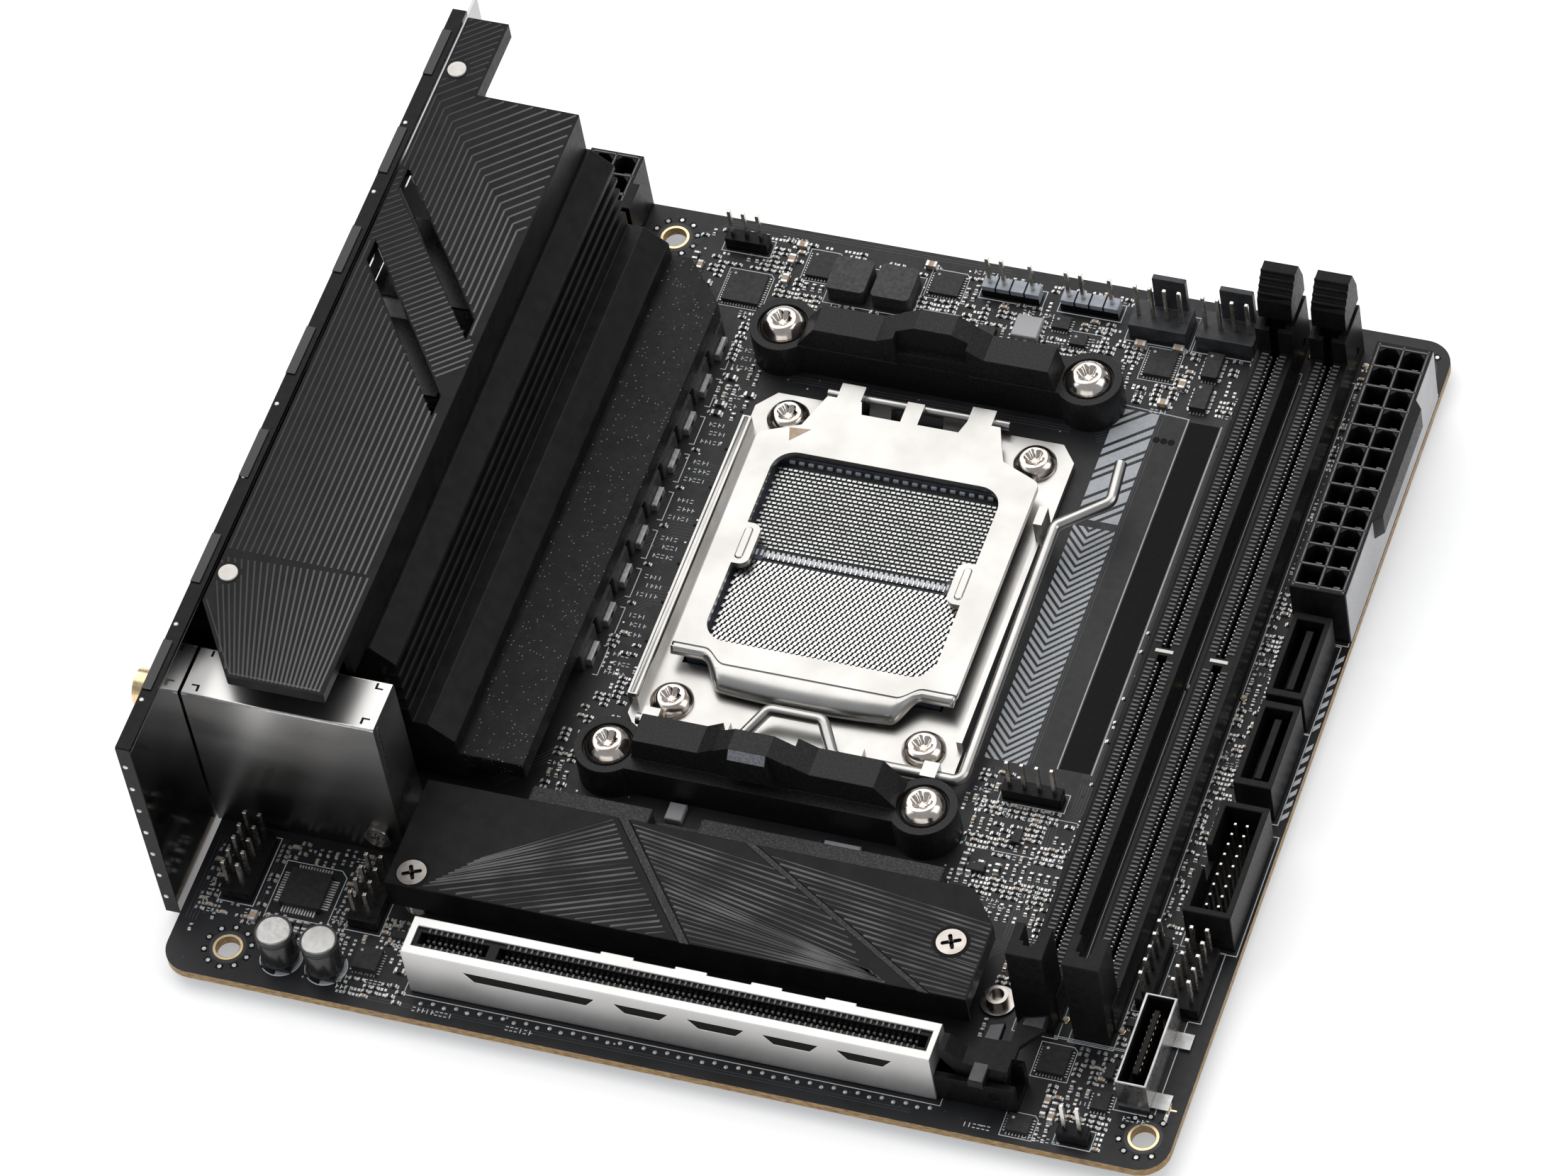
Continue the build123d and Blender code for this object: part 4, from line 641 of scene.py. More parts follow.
def ticks(x, y, n, ang=0, h=0.85, mat="silk"):
    """A row of small plain marks beside a part."""
    ca, sa = math.cos(math.radians(ang)), math.sin(math.radians(ang))
    for k in range(n):
        u = k * 0.78
        kind = rng.random()
        px, py = x + u * ca, y + u * sa
        if kind < 0.55:
            ink.tbox(px, py, 0.0, 0.16, h, 0.03, ang, mat)
            if rng.random() < 0.6:
                ink.tbox(px + 0.2 * ca, py + 0.2 * sa, 0.0, 0.4, 0.15, 0.031, ang, mat)
        else:
            ink.tbox(px - sa * h * 0.38, py + ca * h * 0.38, 0.0, 0.5, 0.16, 0.03, ang, mat)
            ink.tbox(px + sa * h * 0.38, py - ca * h * 0.38, 0.0, 0.5, 0.16, 0.03, ang, mat)


def field(x0, x1, y0, y1, density, px=1.42, py=0.98, tan=0.12, big=0.06, marks=0.05):
    """Rows of small parts on a placement grid, in runs that share a direction, with gaps between the runs."""
    taken = []
    cols, rows = int((x1 - x0) / px), int((y1 - y0) / py)
    blocks = {}
    for i in range(cols):
        for j in range(rows):
            key = (i // 3, j // 4)
            if key not in blocks:
                blocks[key] = (rng.random(), rng.choice((0, 0, 90)), rng.random())
            dens, turn, kind = blocks[key]
            if rng.random() > density * (0.55 + 0.75 * dens):
                continue
            x, y = x0 + (i + 0.5) * px, y0 + (j + 0.5) * py
            if turn == 90:
                x += 0.1 * (rng.random() - 0.5)
            if kind < big:
                L, W, H = 1.75, 0.95, 0.75
            elif kind < 0.4:
                L, W, H = 1.2, 0.62, 0.42
            else:
                L, W, H = 0.98, 0.52, 0.36
            w, d = (L, W) if turn == 0 else (W, L)
            r = (x - w / 2 - 0.12, x + w / 2 + 0.12, y - d / 2 - 0.08, y + d / 2 + 0.08)
            if not free(*r) or any(r[0] < t[1] and r[1] > t[0] and r[2] < t[3] and r[3] > t[2] for t in taken[-60:]):
                continue
            taken.append(r)
            q = rng.random()
            if q < marks:
                ticks(x - 0.6, y, rng.choice((2, 3, 4)), 0, 0.7)
            elif q < marks + tan:
                two_pad(x, y, turn, (L, W, H * 1.15), "mlcc")
            elif q < 0.62:
                two_pad(x, y, turn, (L, W, H * 0.8), "chip")
            elif q < 0.8:
                two_pad(x, y, turn, (L, W, H), "choke")
            else:
                for s in (-1, 1):
                    d2 = s * L * 0.33
                    smd.tbox(x + (d2 if turn == 0 else 0), y + (0 if turn == 0 else d2), 0.0, 0.42, 0.5, 0.05, turn, "solder")


for args in ((40.8, 62.6, 148.9, 168.4, 0.86), (62.6, 100.0, 148.9, 168.4, 0.8), (100.0, 116.0, 149.2, 168.0, 0.85),
             (116.0, 139.2, 146.2, 159.4, 0.9), (50.4, 58.0, 128.0, 149.5, 0.75), (50.4, 58.1, 61.0, 82.0, 0.45),
             (49.0, 56.0, 46.0, 61.0, 0.85), (33.6, 49.6, 40.2, 45.6, 0.8), (119.4, 138.9, 40.4, 52.0, 0.92),
             (119.8, 138.9, 52.0, 63.0, 0.85), (133.6, 139.2, 18.6, 40.4, 0.85), (117.4, 126.0, 60.0, 69.5, 0.6),
             (136.8, 139.2, 62.0, 106.0, 0.25), (146.4, 160.4, 1.6, 20.6, 0.9), (155.7, 160.4, 20.6, 68.0, 0.5),
             (155.7, 161.2, 66.0, 106.0, 0.95), (155.7, 160.0, 106.0, 162.0, 0.42), (160.6, 169.0, 28.6, 43.0, 0.3),
             (2.0, 14.0, 8.0, 29.2, 0.6), (13.6, 28.0, 9.2, 29.4, 0.75), (23.8, 42.0, 9.4, 17.6, 0.8),
             (30.2, 42.0, 1.8, 9.6, 0.6), (33.6, 41.8, 12.0, 18.4, 0.7), (96.0, 116.0, 60.0, 62.0, 0.4),
             (136.4, 145.0, 13.2, 21.0, 0.4), (28.8, 41.0, 154.0, 168.0, 0.35)):
    field(*args)

# formed-leg packages and bare leadless ones among them
for (x, y, a, w, d, h, n, p, s) in ((131.6, 156.0, 90, 5.0, 2.9, 1.3, 6, 0.8, 2), (131.6, 149.2, 90, 5.0, 2.9, 1.3, 6, 0.8, 2),
                                    (103.9, 154.2, 0, 2.6, 1.7, 0.8, 3, 0.7, 2), (107.8, 152.2, 0, 2.6, 1.7, 0.8, 3, 0.7, 2),
                                    (103.6, 150.8, 0, 2.6, 1.7, 0.8, 3, 0.7, 2), (92.0, 155.2, 0, 3.0, 1.9, 0.9, 4, 0.6, 2),
                                    (124.0, 49.0, 0, 2.8, 1.5, 0.9, 3, 0.8, 2), (128.6, 56.4, 90, 2.8, 1.5, 0.9, 3, 0.8, 2),
                                    (157.8, 26.0, 0, 2.8, 1.5, 0.9, 3, 0.8, 2), (37.2, 14.6, 0, 2.9, 1.4, 0.9, 3, 0.85, 2),
                                    (156.6, 16.4, 90, 2.8, 1.5, 0.9, 3, 0.8, 2), (33.7, 8.7, 0, 4.0, 3.6, 1.3, 4, 0.9, 2)):
    legged(x, y, a, w, d, h, n, p, s)
for (x0, x1, y0, y1, h) in CHIPS:                       # gull-wing or castellated edges of the controllers
    n = max(4, int((x1 - x0) / 0.5))
    for k in range(n):
        u = x0 + (k + 0.5) * (x1 - x0) / n
        for yy in (y0 - 0.18, y1 + 0.18):
            smd.box(u - 0.11, u + 0.11, yy - 0.28, yy + 0.28, 0.0, 0.1, "solder")
    n = max(4, int((y1 - y0) / 0.5))
    for k in range(n):
        u = y0 + (k + 0.5) * (y1 - y0) / n
        for xx in (x0 - 0.18, x1 + 0.18):
            smd.box(xx - 0.28, xx + 0.28, u - 0.11, u + 0.11, 0.0, 0.1, "solder")
    smd.lathe(x0 + 0.8, y1 - 0.8, [(0.26, h - 0.05), (0.26, h + 0.015)], 10, "silk_grey", smooth=False)
for k in range(12):                                     # the square audio chip's leads
    for s in (-1, 1):
        smd.box(19.1 + (k - 5.5) * 0.5 - 0.13, 19.1 + (k - 5.5) * 0.5 + 0.13, 19.3 + s * 4.1 - 0.62, 19.3 + s * 4.1 + 0.62, 0.0, 0.52, "solder")
        smd.box(19.1 + s * 4.1 - 0.62, 19.1 + s * 4.1 + 0.62, 19.3 + (k - 5.5) * 0.5 - 0.13, 19.3 + (k - 5.5) * 0.5 + 0.13, 0.0, 0.52, "solder")
for (x, y, a) in ((55.4, 166.4, 0), (54.6, 163.0, 90), (78.4, 167.0, 0), (124.8, 158.7, 0), (127.6, 151.4, 90),
                  (118.2, 158.3, 0), (157.9, 149.8, 90), (158.2, 146.0, 90), (125.6, 147.0, 0), (12.2, 12.6, 90), (54.8, 158.6, 90)):
    two_pad(x, y, a, (1.9, 1.2, 1.0), "mlcc")
for (x, y, w, d, h) in ((98.6, 157.2, 4.6, 4.6, 1.4), (73.0, 48.0, 2.9, 3.4, 1.1), (59.4, 45.8, 3.2, 1.5, 0.8), (101.6, 47.6, 6.2, 1.7, 0.9)):
    smd.box(x - w / 2, x + w / 2, y - d / 2, y + d / 2, 0.0, h, "grey_and_painted_reflection", c=0.16)   # lidded parts

# plated holes round the fixing holes
for hx, hy in HOLES:
    for k in range(10):
        a = math.radians(36 * k + 18)
        x, y = hx + 3.9 * math.cos(a), hy + 3.9 * math.sin(a)
        if 1.2 < x < 168.8 and 1.2 < y < 168.8:
            copper.tbox(x, y, 0.0, 0.95, 1.25, 0.035, 36 * k + 18, "dark")
            copper.lathe(x, y, [(0.36, 0.0), (0.36, 0.06), (0.18, 0.06)], 8, "solder" if k % 3 else "silk", smooth=False)
    flat_ring(copper, hx, hy, 2.05, 2.5, 0.0, 0.022, 40, "gold")
    flat_ring(copper, hx, hy, 2.5, 3.1, 0.0, 0.02, 40, "trace")

# solder ends of the slot pins, the memory slots' board pins and pegs
for k in range(44):
    x = 44.8 + k * 2.0
    copper.lathe(x, 3.1 + 0.35 * (k % 2), [(0.42, 0.0), (0.36, 0.16), (0.12, 0.3)], 8, "solder")
for x, y0, y1, step in ((147.2, 28.0, 156.0, 1.7), (156.4, 28.0, 156.0, 1.7)):
    y = y0
    while y < y1:
        copper.lathe(x, y, [(0.2, 0.0), (0.18, 0.05), (0.05, 0.08)], 6, "solder")
        y += step
for x, y in ((147.0, 162.3), (156.3, 162.3), (146.9, 91.5), (156.1, 91.5), (146.7, 24.5), (156.0, 24.5)):
    copper.lathe(x, y, [(0.75, 0.0), (0.75, 0.1), (0.42, 0.22), (0.3, 0.06)], 16, "gold")
    copper.lathe(x, y, [(0.42, 0.0), (0.42, 0.5), (0.22, 0.62)], 12, "cream")

# vias
n = 0
while n < 1500:
    x, y = 2 + 166 * rng.random(), 2 + 166 * rng.random()
    if free(x - 0.2, x + 0.2, y - 0.2, y + 0.2):
        copper.lathe(x, y, [(0.2, 0.0), (0.2, 0.02), (0.09, 0.02)], 6, "solder" if rng.random() < 0.3 else "trace", smooth=False)
    n += 1


# covered copper: bundles of tracks with 45 degree bends
def bundle(pts, n, pitch, w=0.18, side=1):
    """n tracks side by side, following pts."""
    v = [Vector(p) for p in pts]
    for k in range(n):
        line = []
        for i, p in enumerate(v):
            a = v[i - 1] if i else None
            b = v[i + 1] if i < len(v) - 1 else None
            d1 = (p - a).normalized() if a is not None else (b - p).normalized()
            d2 = (b - p).normalized() if b is not None else d1
            n1, n2 = Vector((-d1.y, d1.x)), Vector((-d2.y, d2.x))
            m = (n1 + n2).normalized()
            q = p + m * (side * k * pitch / max(0.4, m.dot(n1)))
            line.append((q.x, q.y))
        copper.stroke(line, w, 0.0, 0.02, "trace")


for pts, n, pitch in (
        (((34.6, 159.0), (38.2, 165.0), (42.2, 168.6), (92.0, 168.6)), 2, 0.55),
        (((29.6, 150.6), (34.6, 156.4), (40.6, 156.4)), 4, 0.6),
        (((118.2, 60.4), (122.0, 64.2), (122.0, 69.4)), 5, 0.5),
        (((136.9, 70.0), (136.9, 146.0)), 5, 0.42),
        (((126.4, 71.0), (126.4, 144.0)), 8, 0.46),
        (((147.9, 26.0), (147.9, 158.0)), 2, 0.4),
        (((156.9, 107.0), (156.9, 140.0), (158.6, 142.0), (158.6, 160.0)), 3, 0.45),
        (((50.4, 98.0), (54.0, 101.6), (58.0, 101.6)), 9, 0.62),
        (((51.0, 84.0), (55.0, 88.0), (58.0, 88.0)), 7, 0.62),
        (((50.6, 112.0), (53.4, 114.8), (58.0, 114.8)), 6, 0.62),
        (((117.0, 137.0), (121.0, 139.0), (128.0, 146.0)), 5, 0.6),
        (((34.0, 1.9), (128.0, 1.9)), 2, 0.5),
        (((62.0, 138.0), (112.0, 138.0)), 3, 0.55),
        (((128.0, 30.0), (134.2, 36.2), (134.2, 60.0), (137.4, 63.2), (137.4, 69.0)), 5, 0.5),
        (((157.0, 22.0), (160.4, 25.4), (160.4, 30.0)), 4, 0.5),
        (((3.0, 10.0), (3.0, 27.0)), 4, 0.6),
        (((162.0, 160.4), (168.0, 160.4)), 3, 0.6),
        (((12.4, 12.0), (12.4, 28.6)), 3, 0.5),
        (((42.0, 46.6), (50.0, 54.6), (54.0, 54.6)), 4, 0.6)):
    bundle([Vector(p) for p in pts], n, pitch)

# ink outlines
def frame_ink(x0, x1, y0, y1, w=0.16, cut=0.0):
    pts = [(x0, y0), (x1, y0), (x1, y1 - cut), (x1 - cut, y1), (x0, y1)] if cut else [(x0, y0), (x1, y0), (x1, y1), (x0, y1)]
    ink.stroke(pts, w, 0.0, 0.03, "silk", closed=True)


for hx, hy, nx, ny in HEADERS:
    frame_ink(hx - nx * 1.27 - 0.55, hx + nx * 1.27 + 0.55, hy - ny * 1.27 - 0.55, hy + ny * 1.27 + 0.55)
for c in CHIPS[:3] + CHIPS[5:6] + CHIPS[9:11]:
    frame_ink(c[0] - 0.75, c[1] + 0.75, c[2] - 0.75, c[3] + 0.75, 0.13, cut=0.7)
frame_ink(13.7, 24.5, 13.9, 24.7, 0.14, cut=1.2)
frame_ink(138.9, 146.4, 20.6, 158.4)
frame_ink(148.2, 155.7, 20.6, 158.4)
frame_ink(159.5, 170.0 - 0.35, 105.4, 159.2)
frame_ink(160.7, 168.6, 68.5, 86.8)
frame_ink(160.7, 168.6, 87.0, 105.1)
frame_ink(160.2, 169.5, 42.4, 66.2)
frame_ink(158.9, 165.6, 10.0, 28.7)
frame_ink(115.1, 126.5, 159.0, 166.2)
frame_ink(126.9, 138.3, 159.0, 166.2)
frame_ink(41.4, 132.2, 4.2, 13.2, 0.14)
frame_ink(62.4, 78.4, 155.6, 164.4, 0.14)
frame_ink(100.6, 111.4, 149.6, 158.9, 0.12)
frame_ink(120.4, 137.6, 53.2, 61.4, 0.12)
frame_ink(145.9, 159.6, 20.9, 21.2, 0.12)
for x, y in ((19.5, 6.2), (27.3, 6.2)):                  # ring and half disc under each round capacitor
    ring = [(x + 3.5 * math.cos(math.radians(a)), y + 3.5 * math.sin(math.radians(a))) for a in range(0, 360, 12)]
    ink.stroke(ring, 0.18, 0.0, 0.03, "silk", closed=True)
    half = [(x + 3.4 * math.cos(math.radians(a)), y + 3.4 * math.sin(math.radians(a))) for a in range(-90, 91, 10)]
    ink.prism(half, 0.0, 0.025, "silk_grey")
for k in range(9):                                       # brackets of ink beside each choke
    y = 75.5 + 8.25 * k
    ink.stroke([(50.0, y - 3.6), (50.9, y - 3.6), (50.9, y + 2.4), (50.0, y + 2.4)], 0.15, 0.0, 0.03, "silk")
    ticks(52.2, y + 1.2, 4, 0, 0.8)
    ticks(52.9, y - 0.6, 4, 0, 0.8)
    ticks(51.9, y - 2.6, 5, 0, 0.8)
    two_pad(51.6, y + 3.6, 0, (0.98, 0.52, 0.36), "chip")
    copper.lathe(56.6, y - 3.4, [(0.3, 0.0), (0.3, 0.04), (0.14, 0.04)], 8, "dark", smooth=False)
for x, y, n, a in ((86.0, 167.6, 7, 0), (51.6, 167.6, 6, 0), (99.6, 161.2, 5, 0), (124.0, 145.4, 4, 0), (157.0, 164.8, 3, 0),
                   (161.2, 166.4, 3, 0), (30.2, 3.2, 4, 0), (44.0, 1.9, 9, 0), (60.0, 1.9, 6, 0), (10.6, 13.6, 8, 0),
                   (146.0, 1.9, 9, 0), (137.0, 1.9, 6, 0), (158.6, 66.8, 4, 0), (159.8, 41.2, 6, 0), (161.0, 8.8, 6, 0),
                   (129.6, 60.4, 6, 0), (120.6, 62.0, 5, 0), (134.6, 44.0, 5, 90), (137.6, 28.0, 6, 90), (158.9, 60.0, 6, 90),
                   (157.2, 118.0, 7, 90), (25.6, 25.6, 3, 0), (3.2, 14.0, 6, 90), (169.0, 110.0, 0, 90), (5.4, 30.0, 0, 0),
                   (55.9, 152.2, 3, 0), (110.8, 160.4, 4, 0), (34.0, 157.4, 3, 0), (117.6, 156.2, 3, 0), (38.2, 11.2, 3, 90)):
    ticks(x, y, n, a)

# diagonal hatch beside the data ports
for y0, y1 in ((69.4, 86.0), (87.6, 104.2)):
    y = y0
    while y < y1 - 1.4:
        ink.prism([(168.75, y), (169.7, y + 1.1), (169.7, y + 2.2), (168.75, y + 1.1)], 0.0, 0.03, "silk")
        y += 2.3

# slanted stripe band and the plain black band beside the memory slots
band_x0, band_x1 = 118.4, 125.6


def clip_poly(poly, x0, x1, y0, y1):
    for axis, lim, keep_less in ((0, x1, True), (0, x0, False), (1, y1, True), (1, y0, False)):
        out = []
        for i in range(len(poly)):
            a, b = poly[i - 1], poly[i]
            ia = a[axis] <= lim if keep_less else a[axis] >= lim
            ib = b[axis] <= lim if keep_less else b[axis] >= lim
            if ia != ib:
                t = (lim - a[axis]) / (b[axis] - a[axis])
                out.append((a[0] + t * (b[0] - a[0]), a[1] + t * (b[1] - a[1])))
            if ib:
                out.append(b)
        poly = out
        if len(poly) < 3:
            return []
    return poly


y = 62.0
while y < 121.0:                                         # fine chevrons
    mid = 121.3
    left = [(band_x0 - 1, y + (mid - band_x0 + 1)), (mid, y), (mid, y + 0.82), (band_x0 - 1, y + (mid - band_x0 + 1) + 0.82)]
    rightp = [(mid, y), (band_x1 + 1, y + (band_x1 + 1 - mid)), (band_x1 + 1, y + (band_x1 + 1 - mid) + 0.82), (mid, y + 0.82)]
    for p in (left, rightp):
        q = clip_poly(p, band_x0, band_x1, 70.6, 119.5)
        if q:
            ink.prism(q, 0.0, 0.03, "silk_grey")
    y += 1.5
y = 108.0
k = 0
while y < 146.0:                                         # broad slanted bars above them
    wide = (2.6, 1.3, 3.4, 0.9)[k % 4]
    p = [(band_x0 - 1, y), (band_x1 + 1, y + 7.6), (band_x1 + 1, y + 7.6 + wide), (band_x0 - 1, y + wide)]
    q = clip_poly(p, band_x0, band_x1, 121.0, 144.8)
    if q:
        ink.prism(q, 0.0, 0.03, "silk_grey")
    y += wide + 0.75
    k += 1
ink.box(131.0, 136.2, 71.2, 144.4, 0.0, 0.03, "silk_black")
ink.stroke([(130.7, 71.0), (130.7, 144.9), (119.0, 145.6)], 0.22, 0.0, 0.035, "silk_grey")
ink.stroke([(136.5, 71.0), (136.5, 144.6)], 0.3, 0.0, 0.035, "silk_grey")
for x, y in ((126.6, 139.6), (127.9, 139.6), (129.2, 139.6)):
    copper.lathe(x, y, [(0.62, 0.0), (0.62, 0.03), (0.4, 0.03)], 14, "dark", smooth=False)
ink.box(167.2, 167.8, 9.6, 12.6, 0.0, 0.03, "silk")
for a in (0, 90):
    copper.tbox(167.5, 12.0, 0.0, 2.6, 0.3, 0.04, a, "gold")

smd.make("surface_parts")
ink.make("board_ink")
copper.make("board_copper")


# ------------------------------------------------------------------ engraved lines of the two covers
def inside(p, poly):
    x, y = p
    hit = False
    for i in range(len(poly)):
        (x1, y1), (x2, y2) = poly[i - 1], poly[i]
        if (y1 > y) != (y2 > y) and x < (x2 - x1) * (y - y1) / (y2 - y1) + x1:
            hit = not hit
    return hit


def runs(a, b, keep, step=0.25):
    """The parts of the segment a-b where keep(point) holds."""
    d = Vector(b) - Vector(a)
    n = max(2, int(d.length / step))
    out, start = [], None
    for i in range(n + 1):
        p = Vector(a) + d * (i / n)
        if keep((p.x, p.y)):
            start = start or (p.x, p.y)
            last = (p.x, p.y)
        elif start:
            out.append((start, last))
            start = None
    if start:
        out.append((start, last))
    return [r for r in out if math.hypot(r[1][0] - r[0][0], r[1][1] - r[0][1]) > 0.5]


COVER = [(-0.1, 169.6), (6.8, 169.6), (6.8, 153.5), (25.2, 153.1), (25.2, 29.9), (9.1, 29.9), (-0.1, 43.4)]
SLITS = []
for y0, y1 in ((134.0, 104.0), (118.0, 87.6)):
    SLITS.append([(0.8, y0 - 2.2), (0.8, y0 + 2.6), (23.6, y1 + 3.9), (23.6, y1 - 0.8)])


def slit_side(p):
    """0 above both slits, 1 between them, 2 below."""
    s = 0
    for (y0, y1) in ((134.0, 104.0), (118.0, 87.6)):
        yc = y0 + (y1 - y0) * (p[0] - 1.2) / 22.0 + 1.0
        s += p[1] < yc
    return s


def on_cover(p):
    return (inside(p, COVER) and not any(inside(p, s) for s in SLITS)
            and math.hypot(p[0] - 1.9, p[1] - 158.3) > 2.2 and math.hypot(p[0] - 1.9, p[1] - 49.2) > 2.2)


def ridge_y(x):
    return 152.7 - 1.07 * (x + 0.05)


# these lines carry the painted highlight and sheen of the line finish
lines = Shape("line")
W = 0.40
k = 0
while True:                                              # parallel to the edge, then turning at the ridge line
    x = 0.35 + 1.17 * k
    if x > 24.9:
        break
    for r in runs((x, 30.0), (x, min(ridge_y(x), 169)), lambda p: on_cover(p) and slit_side(p) == 0):
        lines.stroke(r, W, 42.0, 42.06, "line", taper=0.06)
    for r in runs((x, ridge_y(x)), (x + 24, ridge_y(x) + 20.4), lambda p: on_cover(p) and slit_side(p) == 0):
        lines.stroke(r, W, 42.0, 42.06, "line", taper=0.06)
    for r in runs((x, 54.0), (x, 140.0), lambda p: on_cover(p) and slit_side(p) == 2):
        lines.stroke(r, W, 42.0, 42.06, "line", taper=0.06)
    k += 1
for k in range(-2, 24):                                  # corner above the ridge, towards the tab
    a = (-0.1, 153.9 + 1.5 * k)
    for r in runs(a, (a[0] + 14, a[1] + 11.9), lambda p: on_cover(p) and p[1] > ridge_y(p[0]) and p[0] - (p[1] - 152.7) / 0.85 < 0 ):
        lines.stroke(r, W, 42.0, 42.06, "line", taper=0.06)
for k in range(40):                                      # between the slits
    a = (0.0, 78.0 + 1.5 * k)
    for r in runs(a, (26.0, a[1] + 21.2), lambda p: on_cover(p) and slit_side(p) == 1):
        lines.stroke(r, W, 42.0, 42.06, "line", taper=0.06)
for k in range(24):                                      # fan below
    t = k / 23.0
    a = (-1.5 + 26.0 * t, 52.2 + 1.2 * t)
    b = (8.0 + 16.6 * t, 30.1)
    for r in runs(a, b, on_cover):
        lines.stroke(r, W * 0.95, 42.0, 42.06, "line", taper=0.06)
lines.stroke([(0.3, 43.5), (9.2, 30.4), (24.9, 30.4)], 0.2, 42.0, 42.05, "line")
lines.make("cover_lines")

M2_OUT = [(34.6, 18.9), (132.6, 18.9), (132.6, 33.1), (127.5, 39.3), (34.6, 39.3)]


def groove(p):
    """0 left of both inlays, 1 between, 2 right; -1 on one."""
    s = 0
    for (xa, xb, w) in ((66.4, 85.2, 1.9), (87.2, 125.9, 2.0)):
        x = xa + (xb - xa) * (40.5 - p[1]) / 22.5
        if x - 0.25 < p[0] < x + w + 0.25:
            return -1
        s += p[0] > x
    return s


def on_m2(p, g):
    return (inside(p, M2_OUT) and groove(p) == g and math.hypot(p[0] - 38.1, p[1] - 21.4) > 3.1
            and math.hypot(p[0] - 127.2, p[1] - 28.8) > 3.1)


m2 = Shape("line_m2", "grain")
M["line_m2"] = material("engraved_line_low", (0.012, 0.012, 0.0122), 0.3, 0.0, 0.4, tone=(0.085, 0.085, 0.086),
                        tone_scale=0.10, contrast=(0.4, 0.6))


def fan(a0, a1, b0, b1, n, g, w0=0.22, w1=0.5):
    for k in range(n):
        t = k / (n - 1.0)
        a = (a0[0] + t * (a1[0] - a0[0]), a0[1] + t * (a1[1] - a0[1]))
        b = (b0[0] + t * (b1[0] - b0[0]), b0[1] + t * (b1[1] - b0[1]))
        for r in runs(a, b, lambda p: on_m2(p, g)):
            m2.stroke(r, w0 + (w1 - w0) * (0.5 - 0.5 * math.cos(6.283 * t * 3)), 9.0, 9.035, "line_m2", taper=0.05)


fan((66.6, 38.9), (72.0, 31.6), (48.0, 26.6), (40.8, 19.4), 10, 0)
fan((72.0, 31.6), (82.0, 20.0), (40.8, 19.2), (78.0, 18.6), 14, 0)
fan((68.6, 38.9), (77.0, 30.0), (104.0, 34.6), (114.0, 22.0), 11, 1)
fan((77.0, 30.0), (86.2, 19.2), (116.0, 20.6), (120.0, 18.6), 12, 1)
fan((90.0, 38.4), (106.0, 28.6), (132.8, 33.4), (132.8, 25.4), 10, 2)
fan((106.0, 28.6), (124.0, 19.0), (132.8, 25.0), (132.8, 18.9), 9, 2)
for (xa, xb, w) in ((66.4, 85.2, 1.9), (87.2, 125.9, 2.0)):     # grained inlays, just below the face
    def edge_x(y, xa=xa, xb=xb):
        return xa + (xb - xa) * (40.5 - y) / 22.5
    y_top, y_bot = 39.55, 18.65
    m2.prism([(edge_x(y_bot) + 0.12, y_bot), (edge_x(y_bot) + w - 0.12, y_bot), (edge_x(y_top) + w - 0.12, y_top),
              (edge_x(y_top) + 0.12, y_top)], 8.6, 8.86, "grain")
m2.make("m2_lines")


# ------------------------------------------------------------------ screws with a six-lobed recess
def lobed_head(s, x, y, z0, r, h, recess, mat, ring=None):
    """Domed head, washer flange and a six-lobed recess."""
    n = 72

    def star(k, a):
        return 1.0 + 0.19 * math.cos(6 * a) if k < 3 else 1.0
    prof = [(0.02, z0 + h * 0.45), (recess * 0.62, z0 + h * 0.42), (recess, z0 + h * 0.92)]
    for t in (0.0, 0.15, 0.35, 0.55, 0.75, 0.9, 1.0):
        rr = recess * 1.28 + (r * 0.93 - recess * 1.28) * t
        prof.append((rr, z0 + h * (0.97 - 0.55 * t ** 2.2)))
    prof += [(r * 0.965, z0 + h * 0.34), (r * 0.975, z0 + h * 0.28), (r, z0 + h * 0.24), (r, z0 + h * 0.06), (r * 0.97, z0)]
    s.lathe(x, y, prof, n, mat, lobes=star)


heads = Shape("screw")
for x, y in ILM:
    lobed_head(heads, x, y, 1.6, 3.65, 2.2, 1.45, "screw")
heads.make("socket_screw_heads", stands_for=("ilm_screws",))
heads = Shape("screw")
for x, y in COOLER:
    lobed_head(heads, x, y, 6.2, 3.9, 2.6, 1.5, "screw")
heads.make("bracket_screw_heads", stands_for=("cooler_bracket_screws",))


